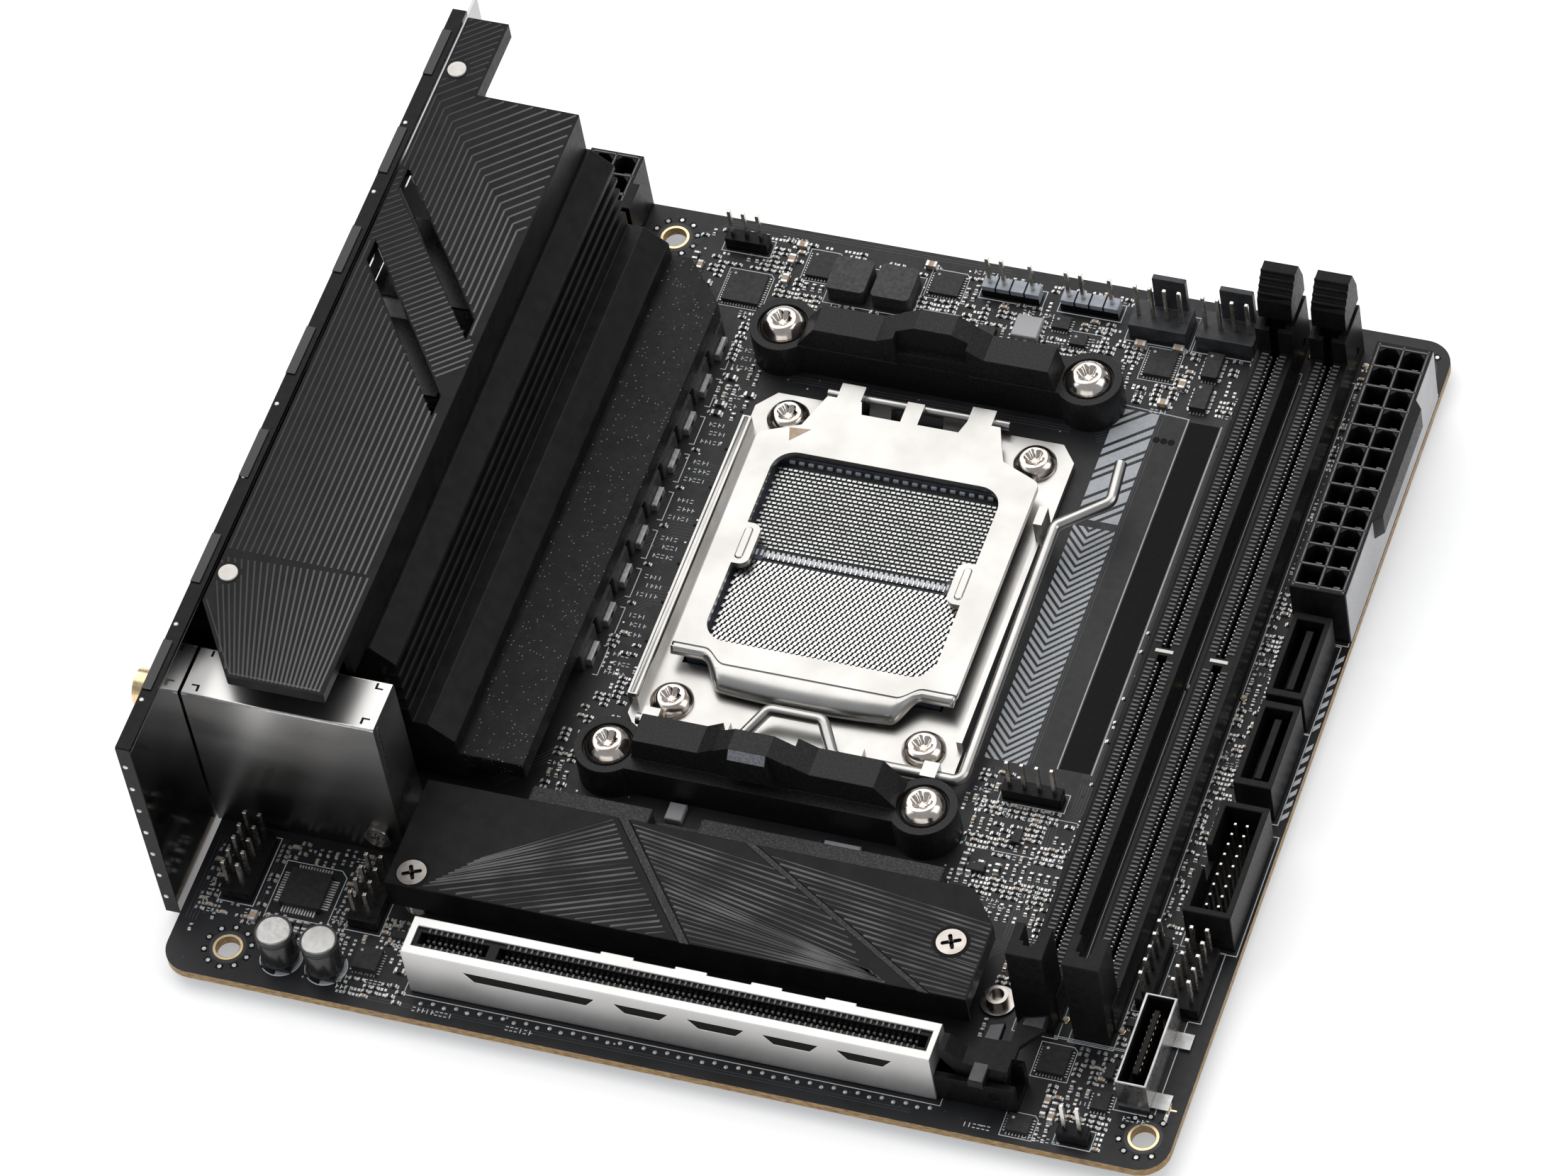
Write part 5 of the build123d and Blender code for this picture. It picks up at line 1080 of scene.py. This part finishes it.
# ------------------------------------------------------------------ socket: spring contacts, walls, marks
contacts = Shape("contact_lit", "contact_dim", "socket_floor", "silk_grey", "silk")
# lit and shaded copies of one contact metal: the front field carries painted light, the rear field painted shade
M["contact_lit"] = material("contact_painted_lit", (0.80, 0.795, 0.78), 0.32, 1.0, tone=(0.92, 0.915, 0.90), tone_scale=0.6,
                            rough_var=0.06)
M["contact_dim"] = material("contact_painted_shade", (0.50, 0.51, 0.49), 0.38, 1.0, tone=(0.66, 0.67, 0.65), tone_scale=0.5,
                            rough_var=0.06)
M["socket_floor"] = material("contact_housing", (0.010, 0.011, 0.012), 0.5, 0.0, 0.4, tone=(0.018, 0.019, 0.021),
                             tone_scale=1.0, bump=0.01, bump_scale=3.0)
px, py = 0.94, 0.81
for field_id, (y0, y1) in enumerate(((79.9, 98.9), (101.3, 119.0))):
    contacts.box(67.4, 106.2, y0 - 0.2, y1 + 0.2, 2.2, 2.55, "socket_floor")
    rows = int((y1 - y0) / py)
    for j in range(rows):
        y = y0 + 0.4 + j * py
        off = 0.5 * px * (j % 2)
        for i in range(41):
            x = 67.8 + off + i * px
            if x > 105.9:
                continue
            if field_id == 0:                           # blades lean back, broad face up and forward
                v = [(x - 0.38, y - 0.33, 2.84), (x + 0.14, y - 0.33, 2.84), (x + 0.40, y + 0.33, 2.94), (x - 0.12, y + 0.33, 2.94)]
                t = (0.0, 0.0, -0.09)
                # painted light: the brighter copy of the contact metal
                mat = "contact_lit"
            else:                                       # blades lean the other way and show their edge
                v = [(x - 0.36, y - 0.19, 2.80), (x + 0.30, y - 0.19, 2.80), (x + 0.36, y + 0.15, 2.86), (x - 0.30, y + 0.15, 2.86)]
                t = (0.0, 0.0, -0.09)
                # painted shade: the darker copy of the contact metal
                mat = "contact_dim"
            w = [tuple(a + b for a, b in zip(p, t)) for p in v]
            contacts.add(v + w, [(0, 1, 2, 3), (7, 6, 5, 4), (0, 4, 5, 1), (1, 5, 6, 2), (2, 6, 7, 3), (3, 7, 4, 0)], mat)
for i in range(43):                                     # toothed divider between the two fields
    x = 67.9 + i * 0.9
    contacts.box(x - 0.26, x + 0.26, 99.5, 100.8, 2.5, 3.04, "silk", c=0.1)
    contacts.box(x + 0.24, x + 0.5, 99.3, 100.4, 2.5, 2.8, "contact_lit")
for i in range(22):
    contacts.box(69.0 + i * 1.66, 69.9 + i * 1.66, 119.35, 119.75, 2.5, 3.1, "silk_grey", c=0.08)
contacts.make("contact_field", stands_for=("socket_contacts",))

M["mark_tan"] = material("plate_mark", (0.34, 0.25, 0.17), 0.4, 0.4, tone=(0.42, 0.32, 0.23), tone_scale=1.0)
plate = Shape("nickel", "mark_tan", "nickel_soft")
for sx, xc in ((-1, 67.9), (1, 106.1)):                  # raised ovals on the two side tabs
    oval = []
    for a in range(0, 360, 15):
        ca, sa = math.cos(math.radians(a)), math.sin(math.radians(a))
        oval.append((xc + 0.75 * ca, 99.7 + (2.6 if sa > 0 else -2.6) * (1 if abs(sa) > 0.01 else 0) + 0.75 * sa))
    plate.prism(oval, 5.35, 5.62, "nickel", c=0.2, smooth=False)
plate.prism([(67.6, 124.6), (71.3, 124.9), (68.4, 121.9)], 5.35, 5.42, "mark_tan")
# rolled front of the plate: short at the corners, deep and bowed in the middle
stations = []
for i in range(97):
    x = 62.95 + i * (111.85 - 62.95) / 96
    t = min(1.0, max(0.0, (x - 68.6) / 4.0)) * min(1.0, max(0.0, (106.4 - x) / 4.0))
    t = t * t * (3 - 2 * t)
    bow = max(0.0, 1.0 - ((x - 86.6) / 15.5) ** 2)
    start = 77.3 + t * (74.75 - 77.3)
    deep = 1.25 + t * (3.35 - 1.25) + 0.75 * t * bow
    drop = 1.35 + t * (2.75 - 1.35)
    stations.append((x, start, deep, drop))
v, f = [], []
steps = 9
for x, start, deep, drop in stations:
    v.append((x, start + 0.5, 5.425))
    for k in range(steps):
        a = math.radians(90.0 * k / (steps - 1))
        v.append((x, start - deep * math.sin(a), 5.46 - drop * (1 - math.cos(a))))
    for k in range(steps):
        a = math.radians(90.0 * (steps - 1 - k) / (steps - 1))
        v.append((x, start - (deep - 0.95) * math.sin(a), 4.5 - (drop - 0.95) * (1 - math.cos(a))))
m_ = 2 * steps + 1
for i in range(len(stations) - 1):
    for k in range(m_):
        kk = (k + 1) % m_
        f.append((i * m_ + k, i * m_ + kk, (i + 1) * m_ + kk, (i + 1) * m_ + k))
f.append(tuple(range(m_))[::-1])
f.append(tuple(range((len(stations) - 1) * m_, len(stations) * m_)))
plate.add(v, f, "nickel", smooth=True)
plate.make("plate_details", body="plate")


# ------------------------------------------------------------------ memory slots: comb teeth and contacts
comb = Shape("slot_plastic", "comb_tooth", "solder", "cream", "grey_plastic")
M["comb_tooth"] = material("comb_tooth", (0.085, 0.085, 0.087), 0.4, 0.0, 0.5, tone=(0.14, 0.14, 0.142), tone_scale=0.9)
for xc in (142.7, 151.95):
    for sx in (-1, 1):
        for (y0, y1) in ((28.6, 92.0), (94.6, 157.2)):
            n = int((y1 - y0) / 0.85)
            for k in range(n):
                y = y0 + (k + 0.5) * 0.85
                a, b = sorted((xc + sx * 0.95, xc + sx * 2.1))
                comb.box(a, b, y - 0.17, y + 0.17, 6.45, 6.72, "comb_tooth", c=0.05)
                a, b = sorted((xc + sx * 0.42, xc + sx * 0.95))
                comb.box(a, b, y - 0.14, y + 0.14, 5.2, 6.1, "solder", c=0.06)
        a, b = sorted((xc + sx * 2.45, xc + sx * 3.2))
        comb.box(a, b, 28.0, 157.3, 6.45, 6.62, "slot_plastic", c=0.06)
        comb.box(*sorted((xc + sx * 0.85, xc + sx * 3.1)), 157.5, 157.9, 6.5, 6.72, "cream", c=0.05)
    comb.box(xc - 1.5, xc + 1.5, 92.9, 93.5, 6.5, 6.64, "cream")
comb.make("memory_comb")

# expansion slot: two rows of small tips inside the mouth
tips = Shape("slot_plastic", "solder", "comb_tooth")
for (x0, x1) in ((44.8, 55.6), (58.2, 129.2)):
    n = int((x1 - x0) / 1.0)
    for k in range(n):
        x = x0 + (k + 0.5)
        for sy in (-1, 1):
            a, b = sorted((8.6 + sy * 0.62, 8.6 + sy * 1.08))
            tips.box(x - 0.22, x + 0.22, a, b, 8.3, 9.0, "solder", c=0.08)
            a, b = sorted((8.6 + sy * 1.1, 8.6 + sy * 1.85))
            tips.box(x + 0.3, x + 0.6, a, b, 10.5, 10.95, "comb_tooth")
tips.make("slot_tips")


# ------------------------------------------------------------------ expansion slot windows, end wall of the rear panel
win = Shape("dark", "sleeve")
for (x0, x1) in ((52.8, 75.0), (78.4, 87.4), (90.8, 100.2), (103.4, 112.6), (115.8, 124.8)):
    v = []
    for y in (5.02, 5.36):
        v += [(x0 + 0.05, y, 8.55), (x1 - 0.05, y, 8.55), (x1 - 1.62, y, 6.65), (x0 + 1.62, y, 6.65)]
    win.add(v, [(3, 2, 1, 0), (4, 5, 6, 7), (0, 1, 5, 4), (1, 2, 6, 5), (2, 3, 7, 6), (3, 0, 4, 7)], "dark")
win.make("sleeve_windows")

wall = Shape("dark", "solder", "plastic")
wall.box(-3.38, -0.92, 12.0, 12.2, -2.2, 42.18, "plastic")
for k in range(7):
    z = 2.0 + 5.9 * k
    wall.add([(-2.5 + 0.35 * math.cos(a), 11.9, z + 0.35 * math.sin(a)) for a in [math.radians(30 * i) for i in range(12)]]
             + [(-2.5 + 0.5 * math.cos(a), 12.05, z + 0.5 * math.sin(a)) for a in [math.radians(30 * i) for i in range(12)]],
             [tuple(range(12))] + [(i, i + 12, (i + 1) % 12 + 12, (i + 1) % 12) for i in range(12)] + [tuple(range(12, 24))[::-1]], "solder")
wall.box(-3.4, -0.9, 12.2, 170.9, 42.2, 42.3, "plastic")
for k in range(9):
    y = 22.0 + 15.4 * k
    wall.lathe(-2.6, y, [(0.42, 42.3), (0.38, 42.42), (0.2, 42.46)], 10, "solder")
wall.make("rear_panel_rim")

# tops of the round capacitors
M["cap_lid"] = material("capacitor_lid", (0.44, 0.435, 0.425), 0.34, 1.0, tone=(0.52, 0.515, 0.505), tone_scale=0.8,
                        rough_var=0.06)
caps = Shape("cap_lid", "cap_sleeve")
for x, y in ((19.5, 6.2), (27.3, 6.2)):
    caps.lathe(x, y, [(2.85, 7.6), (2.85, 7.74), (2.6, 7.84)], 44, "cap_lid")
    caps.lathe(x, y, [(3.14, 0.95), (3.14, 1.5), (3.08, 1.6)], 44, "cap_sleeve")
    caps.lathe(x, y, [(3.12, 6.6), (3.16, 6.9), (3.12, 7.2)], 44, "cap_sleeve")
caps.make("capacitor_tops")

# wall edges of the main power socket, and a grey panel of painted reflection on its outer side
atx = Shape("comb_tooth", "grey_and_painted_reflection", "slot_plastic")
for (x0, x1, y0, y1, nx, ny) in ((160.4, 169.9, 106.2, 158.4, 2, 12), (17.5, 27.1, 152.0, 169.9, 2, 4)):
    cx, cy = (x0 + x1) / 2, (y0 + y1) / 2
    for j in range(ny + 1):
        y = cy + (j - ny / 2) * 4.2
        atx.box(x0 + 0.35, x1 - 0.3, y - 0.13, y + 0.13, 12.62, 12.74, "comb_tooth")
    for i in range(nx + 1):
        x = cx + (i - nx / 2) * 4.2
        atx.box(x - 0.13, x + 0.13, y0 + 0.4, y1 - 0.4, 12.62, 12.74, "comb_tooth")
    for i in range(nx):                                  # keyed cells have two cut corners
        for j in range(ny):
            if (i + j * 2 + j // 3) % 3 == 0:
                continue
            ax, ay = cx + (i - nx / 2) * 4.2 + 0.35, cy + (j - ny / 2) * 4.2 + 0.35
            for (bx, sx) in ((ax, 1), (ax + 3.5, -1)):
                p = [(bx, ay + 3.5), (bx + sx * 0.95, ay + 3.5), (bx, ay + 2.55)]
                atx.prism(p, 9.0, 12.7, "slot_plastic")
# painted reflection: a thin grey panel on the socket's outer side stands in for its glossy sheen
atx.box(169.88, 170.0, 106.4, 158.2, 0.3, 12.5, "grey_and_painted_reflection")
atx.make("power_socket_edges")




# ------------------------------------------------------------------ small hardware seen close up
M["screw_dim"] = material("cover_screw_nickel", (0.40, 0.365, 0.335), 0.22, 1.0, tone=(0.52, 0.48, 0.45), tone_scale=0.35,
                          rough_var=0.05, rough_scale=1.0)
M["lead"] = material("lead_tin", (0.58, 0.57, 0.56), 0.36, 0.8, tone=(0.78, 0.77, 0.76), tone_scale=1.2, rough_var=0.06)
M["facet"] = material("latch_facet", (0.040, 0.041, 0.044), 0.34, 0.0, 0.4, tone=(0.065, 0.067, 0.072), tone_scale=0.6,
                      rough_var=0.06, bump=0.001, bump_scale=4.0)
M["shell"] = material("header_shell", (0.36, 0.355, 0.35), 0.3, 1.0, tone=(0.48, 0.475, 0.47), tone_scale=0.3,
                      rough_var=0.06, bump=0.001, bump_scale=2.0)

# dark slots in the two cover screws, and the seat round each head
seats = Shape("dark", "screw_dim")
for x, y in ((38.1, 21.4), (127.2, 28.8)):
    for a, ln in ((25, 3.1), (115, 2.7)):
        seats.tbox(x, y, 8.42, ln, 0.56, 0.32, a, "dark")
    flat_ring(seats, x, y, 2.56, 2.95, 8.98, 9.04, 40, "dark")
seats.make("cover_screw_seats")

# front panel socket: dark sheets of painted shade line the inside of the steel shell; black tongue with contacts on it
socket_shade = Shape("dark", "plastic", "gold")
socket_shade.box(160.02, 160.14, 11.02, 27.58, 1.42, 6.7, "dark")
socket_shade.box(164.26, 164.38, 11.02, 27.58, 1.42, 6.7, "dark")
socket_shade.box(160.14, 164.26, 11.02, 11.14, 1.42, 6.7, "dark")
socket_shade.box(160.14, 164.26, 27.46, 27.58, 1.42, 6.7, "dark")
socket_shade.box(160.14, 161.7, 11.14, 27.46, 1.42, 1.56, "dark")
socket_shade.box(162.7, 164.26, 11.14, 27.46, 1.42, 1.56, "dark")
socket_shade.box(161.7, 162.7, 13.1, 25.5, 1.42, 6.66, "plastic", c=0.12)
for k in range(10):
    for x in (161.62, 162.7):
        socket_shade.box(x, x + 0.08, 14.0 + 1.16 * k, 14.5 + 1.16 * k, 4.6, 6.3, "gold")
socket_shade.make("front_socket_painted_shade")

# radio can: rolled front edge, corner slots, seam
can = Shape("lead", "dark", "shell")
n = 10
v, f = [], []
for x in (0.2, 32.0):
    for k in range(n):
        a = 2 * math.pi * k / n
        v.append((x, 30.32 + 0.34 * math.cos(a), 33.86 + 0.34 * math.sin(a)))
for k in range(n):
    kk = (k + 1) % n
    f.append((k, kk, n + kk, n + k)[::-1])
f.append(tuple(range(n)))
f.append(tuple(range(n, 2 * n))[::-1])
can.add(v, f, "lead", smooth=True)
for (x0, x1, y0, y1) in ((1.6, 2.0, 30.9, 32.2), (0.6, 2.0, 31.9, 32.2), (30.0, 30.4, 30.9, 32.2), (30.0, 31.4, 31.9, 32.2),
                         (1.6, 2.0, 38.0, 39.2), (30.0, 30.4, 38.0, 39.2), (30.0, 31.4, 38.0, 38.3)):
    can.box(x0, x1, y0, y1, 34.18, 34.215, "dark")
for k in range(5):
    can.box(32.58, 32.63, 31.3 + 0.1 * k, 31.36 + 0.1 * k, 3.0, 33.0, "shell")
can.make("can_edges")

# plated ends of the chokes
term = Shape("lead", "dark")
for k in range(9):
    y = 75.5 + 8.25 * k
    term.box(48.62, 49.58, y - 2.06, y + 2.06, 0.06, 1.68, "lead", c=0.16)
    term.box(49.2, 49.62, y - 0.6, y + 0.6, 0.5, 1.2, "dark", c=0.1)
term.make("choke_terminals")

# lighter moulded facets on the expansion slot's latch
fac = Shape("facet")
fac.prism([(138.0, 12.5), (140.2, 12.5), (140.2, 15.7), (138.2, 15.0)], 9.16, 9.24, "facet")
fac.prism([(137.9, 4.3), (140.1, 4.3), (140.1, 7.7), (137.9, 7.7)], 9.16, 9.24, "facet")
fac.prism([(143.0, 16.3), (146.3, 16.2), (146.2, 18.4), (143.2, 17.5)], 9.16, 9.22, "facet")
fac.make("latch_facets", body="card_latch")

# ------------------------------------------------------------------ painted highlights along the edges and a painted reflection on the lug facet of the two brackets
M["edge_painted_highlight"] = material("bracket_edge", (0.26, 0.26, 0.27), 0.3, 0.0, 0.5, tone=(0.40, 0.40, 0.415), tone_scale=1.2,
                         rough_var=0.05)
M["facet_painted_reflection"] = material("bracket_facet_painted_reflection", (0.13, 0.135, 0.15), 0.38, 0.0, 0.5, tone=(0.24, 0.245, 0.265),
                            tone_scale=2.6, rough_var=0.08, bump=0.006, bump_scale=4.0)


def bead(shape, pts, r, mat):
    """Thin square bead along points in space that run mostly along X."""
    v, f = [], []
    for x, y, z in pts:
        v += [(x, y - r, z - r), (x, y + r, z - r), (x, y + r, z + r), (x, y - r, z + r)]
    for i in range(len(pts) - 1):
        for k in range(4):
            kk = (k + 1) % 4
            f.append((4 * i + k, 4 * i + 4 + k, 4 * i + 4 + kk, 4 * i + kk))
    f.append((0, 1, 2, 3))
    e = 4 * (len(pts) - 1)
    f.append((e + 3, e + 2, e + 1, e))
    if pts[-1][0] < pts[0][0]:
        f = [g[::-1] for g in f]
    shape.add(v, f, mat)


for name, s_ in (("upper_bracket_painted_highlights", 1), ("lower_bracket_painted_highlights", -1)):
    yc = 99.3 + s_ * 45.0

    def at(a, u, z):
        return (87.0 - s_ * a, yc - s_ * u, z)
    be = Shape("edge_painted_highlight", "facet_painted_reflection")
    for path in ([(-21.3, 3.62, 11.78), (-10.4, 3.62, 11.78), (-7.5, 3.62, 13.5)],
                 [(-7.3, 2.05, 13.6), (-4.6, 2.05, 14.97), (2.0, 2.05, 14.97), (5.3, 2.05, 13.42)],
                 [(5.5, 3.62, 13.3), (8.7, 3.62, 11.78), (19.6, 3.62, 11.78)],
                 [(-21.3, -1.42, 11.78), (-10.4, -1.42, 11.78), (-7.5, -1.42, 13.5)],
                 [(5.5, -1.42, 13.3), (8.7, -1.42, 11.78), (19.6, -1.42, 11.78)]):
        bead(be, [at(*p) for p in path], 0.11, "edge_painted_highlight")
    # painted reflection: a lighter trapezoid on the sloped lug facet
    q = [at(-4.45, -1.86, 15.16), at(1.85, -1.86, 15.16), at(1.85, -3.06, 13.88), at(-4.45, -3.06, 13.88)]
    w = [(x, y, z - 0.2) for x, y, z in q]
    be.add([(x, y - s_ * -0.05, z + 0.06) for x, y, z in q] + w,
           [(0, 1, 2, 3), (7, 6, 5, 4), (0, 4, 5, 1), (1, 5, 6, 2), (2, 6, 7, 3), (3, 7, 4, 0)], "facet_painted_reflection")
    be.make(name)

# ------------------------------------------------------------------ rolled edge of the socket frame, gaps between header cells
edge = Shape("nickel")
v, f = [], []
n = 16
for y in (66.5, 66.9, 125.7, 126.1):
    r = 0.94 if 66.6 < y < 126.0 else 0.6
    for k in range(n):
        a = 2 * math.pi * k / n
        v.append((59.5 + r * math.cos(a), y, 3.76 + r * math.sin(a)))
for j in range(3):
    for k in range(n):
        kk = (k + 1) % n
        f.append((j * n + k, j * n + kk, (j + 1) * n + kk, (j + 1) * n + k)[::-1])
f.append(tuple(range(n)))
f.append(tuple(range(3 * n, 4 * n))[::-1])
edge.add(v, f, "nickel", smooth=True)
edge.make("frame_rolled_edge")

gaps = Shape("dark", "grey_plastic")
for x, y in ((93.8, 164.2), (107.8, 164.2)):
    for k in range(1, 4):
        gaps.box(x - 5.08 + 2.54 * k - 0.14, x - 5.08 + 2.54 * k + 0.14, y - 1.30, y + 1.30, 1.2, 2.54, "dark")
    gaps.box(x - 5.1, x + 5.1, y - 1.31, y - 1.25, 0.05, 1.5, "dark")
gaps.make("led_header_gaps")


# ------------------------------------------------------------------ finishes of the CAD nodes that stay
for name, mat, bevel in (
        ("pcb", "board", 0.0),
        ("io_shield", "chrome", 0.0),
        ("io_cover", "cover", 0.35),
        ("io_cover_rivets", "cream", 0.12),
        ("vrm_heatsink", "sink", 0.22),
        ("power_stages", "chip", 0.0),
        ("vrm_chokes", "choke", 0.2),
        ("thermal_pads", "pad", 0.0),
        ("atx_power_connector", "slot_plastic", 0.14),
        ("eps_power_connector", "slot_plastic", 0.14),
        ("power_connector_pins", "nickel_soft", 0.0),
        ("dimm_slot_1", "slot_plastic", 0.16),
        ("dimm_slot_2", "slot_plastic", 0.16),
        ("dimm_contacts", "dark", 0.0),
        ("dimm_latch_1", "plastic", 0.22),
        ("dimm_latch_2", "plastic", 0.22),
        ("pcie_slot", "slot_plastic", 0.1),
        ("pcie_slot_shield", "sleeve", 0.14),
        ("pcie_contacts", "dark", 0.0),
        ("pcie_latch", "plastic", 0.25),
        ("cpu_socket_body", "socket", 0.12),
        ("socket_contacts", "dark", 0.0),
        ("ilm_frame", "nickel", 0.22),
        ("ilm_screws", "screw", 0.0),
        ("load_plate", "nickel", 0.42),
        ("load_lever", "nickel", 0.0),
        ("cooler_bracket_upper", "plastic_grain", 0.45),
        ("cooler_bracket_lower", "plastic_grain", 0.45),
        ("cooler_bracket_screws", "screw", 0.0),
        ("socket_backplate", "nickel_soft", 0.0),
        ("backplate_insulator", "insulator", 0.0),
        ("m2_heatsink", "cover", 0.15),
        ("small_screws", "screw_dim", 0.1),
        ("m2_standoffs", "screw_dim", 0.0),
        ("m2_connector", "slot_plastic", 0.1),
        ("chipset", "chip", 0.0),
        ("chipset_heatsink", "grain", 0.3),
        ("sata_port_1", "plastic", 0.16),
        ("sata_port_2", "plastic", 0.16),
        ("usb3_header", "plastic", 0.18),
        ("usb_c_header", "shell", 0.1),
        ("pin_headers", "plastic", 0.2),
        ("led_headers", "grey_plastic", 0.2),
        ("fan_headers", "fan_plastic", 0.18),
        ("header_pins", "pin", 0.1),
        ("audio_capacitors", "cap_sleeve", 0.2),
        ("audio_codec", "chip", 0.0),
        ("controller_chips", "chip", 0.0),
        ("power_inductors", "choke", 0.25),
        ("usb_stack_1", "steel", 0.1),
        ("usb_stack_2", "steel", 0.1),
        ("lan_port", "steel", 0.1),
        ("display_ports", "steel", 0.1),
        ("audio_jacks", "plastic", 0.1),
        ("antenna_jacks", "gold", 0.0),
        ("wifi_shield", "can", 0.3),
        ("wifi_module", "chip", 0.0),
        ("flashback_switch", "plastic", 0.1),
        ("flashback_button", "button", 0.0),
        ("cmos_battery", "nickel_soft", 0.3)):
    dress(name, mat, bevel)

# ------------------------------------------------------------------ floor, light, camera
FLOOR_Z = -0.00392
floor_mesh = bpy.data.meshes.new("floor")
floor_mesh.from_pydata([(-3, -3, FLOOR_Z), (3, -3, FLOOR_Z), (3, 3, FLOOR_Z), (-3, 3, FLOOR_Z)], [], [(0, 1, 2, 3)])
floor = bpy.data.objects.new("floor", floor_mesh)
scene.collection.objects.link(floor)
floor_mat = material("floor_white", (0.88, 0.88, 0.88), 0.7, 0.0, 0.2, tone=(0.90, 0.90, 0.90), tone_scale=0.002)
floor_mat.node_tree.nodes["Principled BSDF"].inputs["Emission Color"].default_value = (1.0, 1.0, 1.0, 1.0)
floor_mat.node_tree.nodes["Principled BSDF"].inputs["Emission Strength"].default_value = 0.36
floor_mesh.materials.append(floor_mat)

world = bpy.data.worlds.new("studio")
scene.world = world
world.use_nodes = True
world.node_tree.nodes["Background"].inputs["Color"].default_value = (0.92, 0.95, 1.0, 1.0)
world.node_tree.nodes["Background"].inputs["Strength"].default_value = 0.34


def area_light(name, place, aim, size, size_y, power, colour=(1, 1, 1)):
    data = bpy.data.lights.new(name, "AREA")
    data.shape = "RECTANGLE"
    data.size, data.size_y = size, size_y
    data.energy = power
    data.color = colour
    o = bpy.data.objects.new(name, data)
    scene.collection.objects.link(o)
    o.location = place
    o.rotation_euler = (Vector(aim) - Vector(place)).to_track_quat("-Z", "Y").to_euler()
    return o


centre = row((85, 85, 5))
area_light("soft_top", (centre[0] - 0.45, centre[1] + 0.75, 1.35), centre, 2.3, 1.7, 20.0, (1.0, 0.99, 0.97))
area_light("soft_left", (centre[0] - 1.6, centre[1] - 0.5, 1.0), centre, 1.2, 1.4, 6.5, (0.96, 0.98, 1.0))
area_light("soft_right", (centre[0] + 1.6, centre[1] + 0.3, 1.1), centre, 1.1, 1.5, 8.0)
area_light("soft_front", (centre[0] + 0.2, centre[1] - 1.7, 0.35), centre, 1.8, 0.6, 2.4)

cam_data = bpy.data.cameras.new("camera")
cam_data.lens = 189.845
cam_data.sensor_fit = "HORIZONTAL"
cam_data.sensor_width = 36.0
cam_data.clip_start = 0.05
cam_data.clip_end = 20.0
cam = bpy.data.objects.new("camera", cam_data)
scene.collection.objects.link(cam)
right = Vector((0.94092262, 0.31487838, -0.12456418))
down = Vector((0.17898234, -0.77473507, -0.60642468))
look = Vector((-0.28745426, 0.54830391, -0.78532342))
cam.matrix_world = Matrix((
    (right.x, -down.x, -look.x, 0.4347214),
    (right.y, -down.y, -look.y, -0.8158870),
    (right.z, -down.z, -look.z, 1.0717291),
    (0.0, 0.0, 0.0, 1.0)))
scene.camera = cam
scene.view_settings.view_transform = "Standard"
scene.view_settings.look = "None"

bpy.context.view_layer.update()
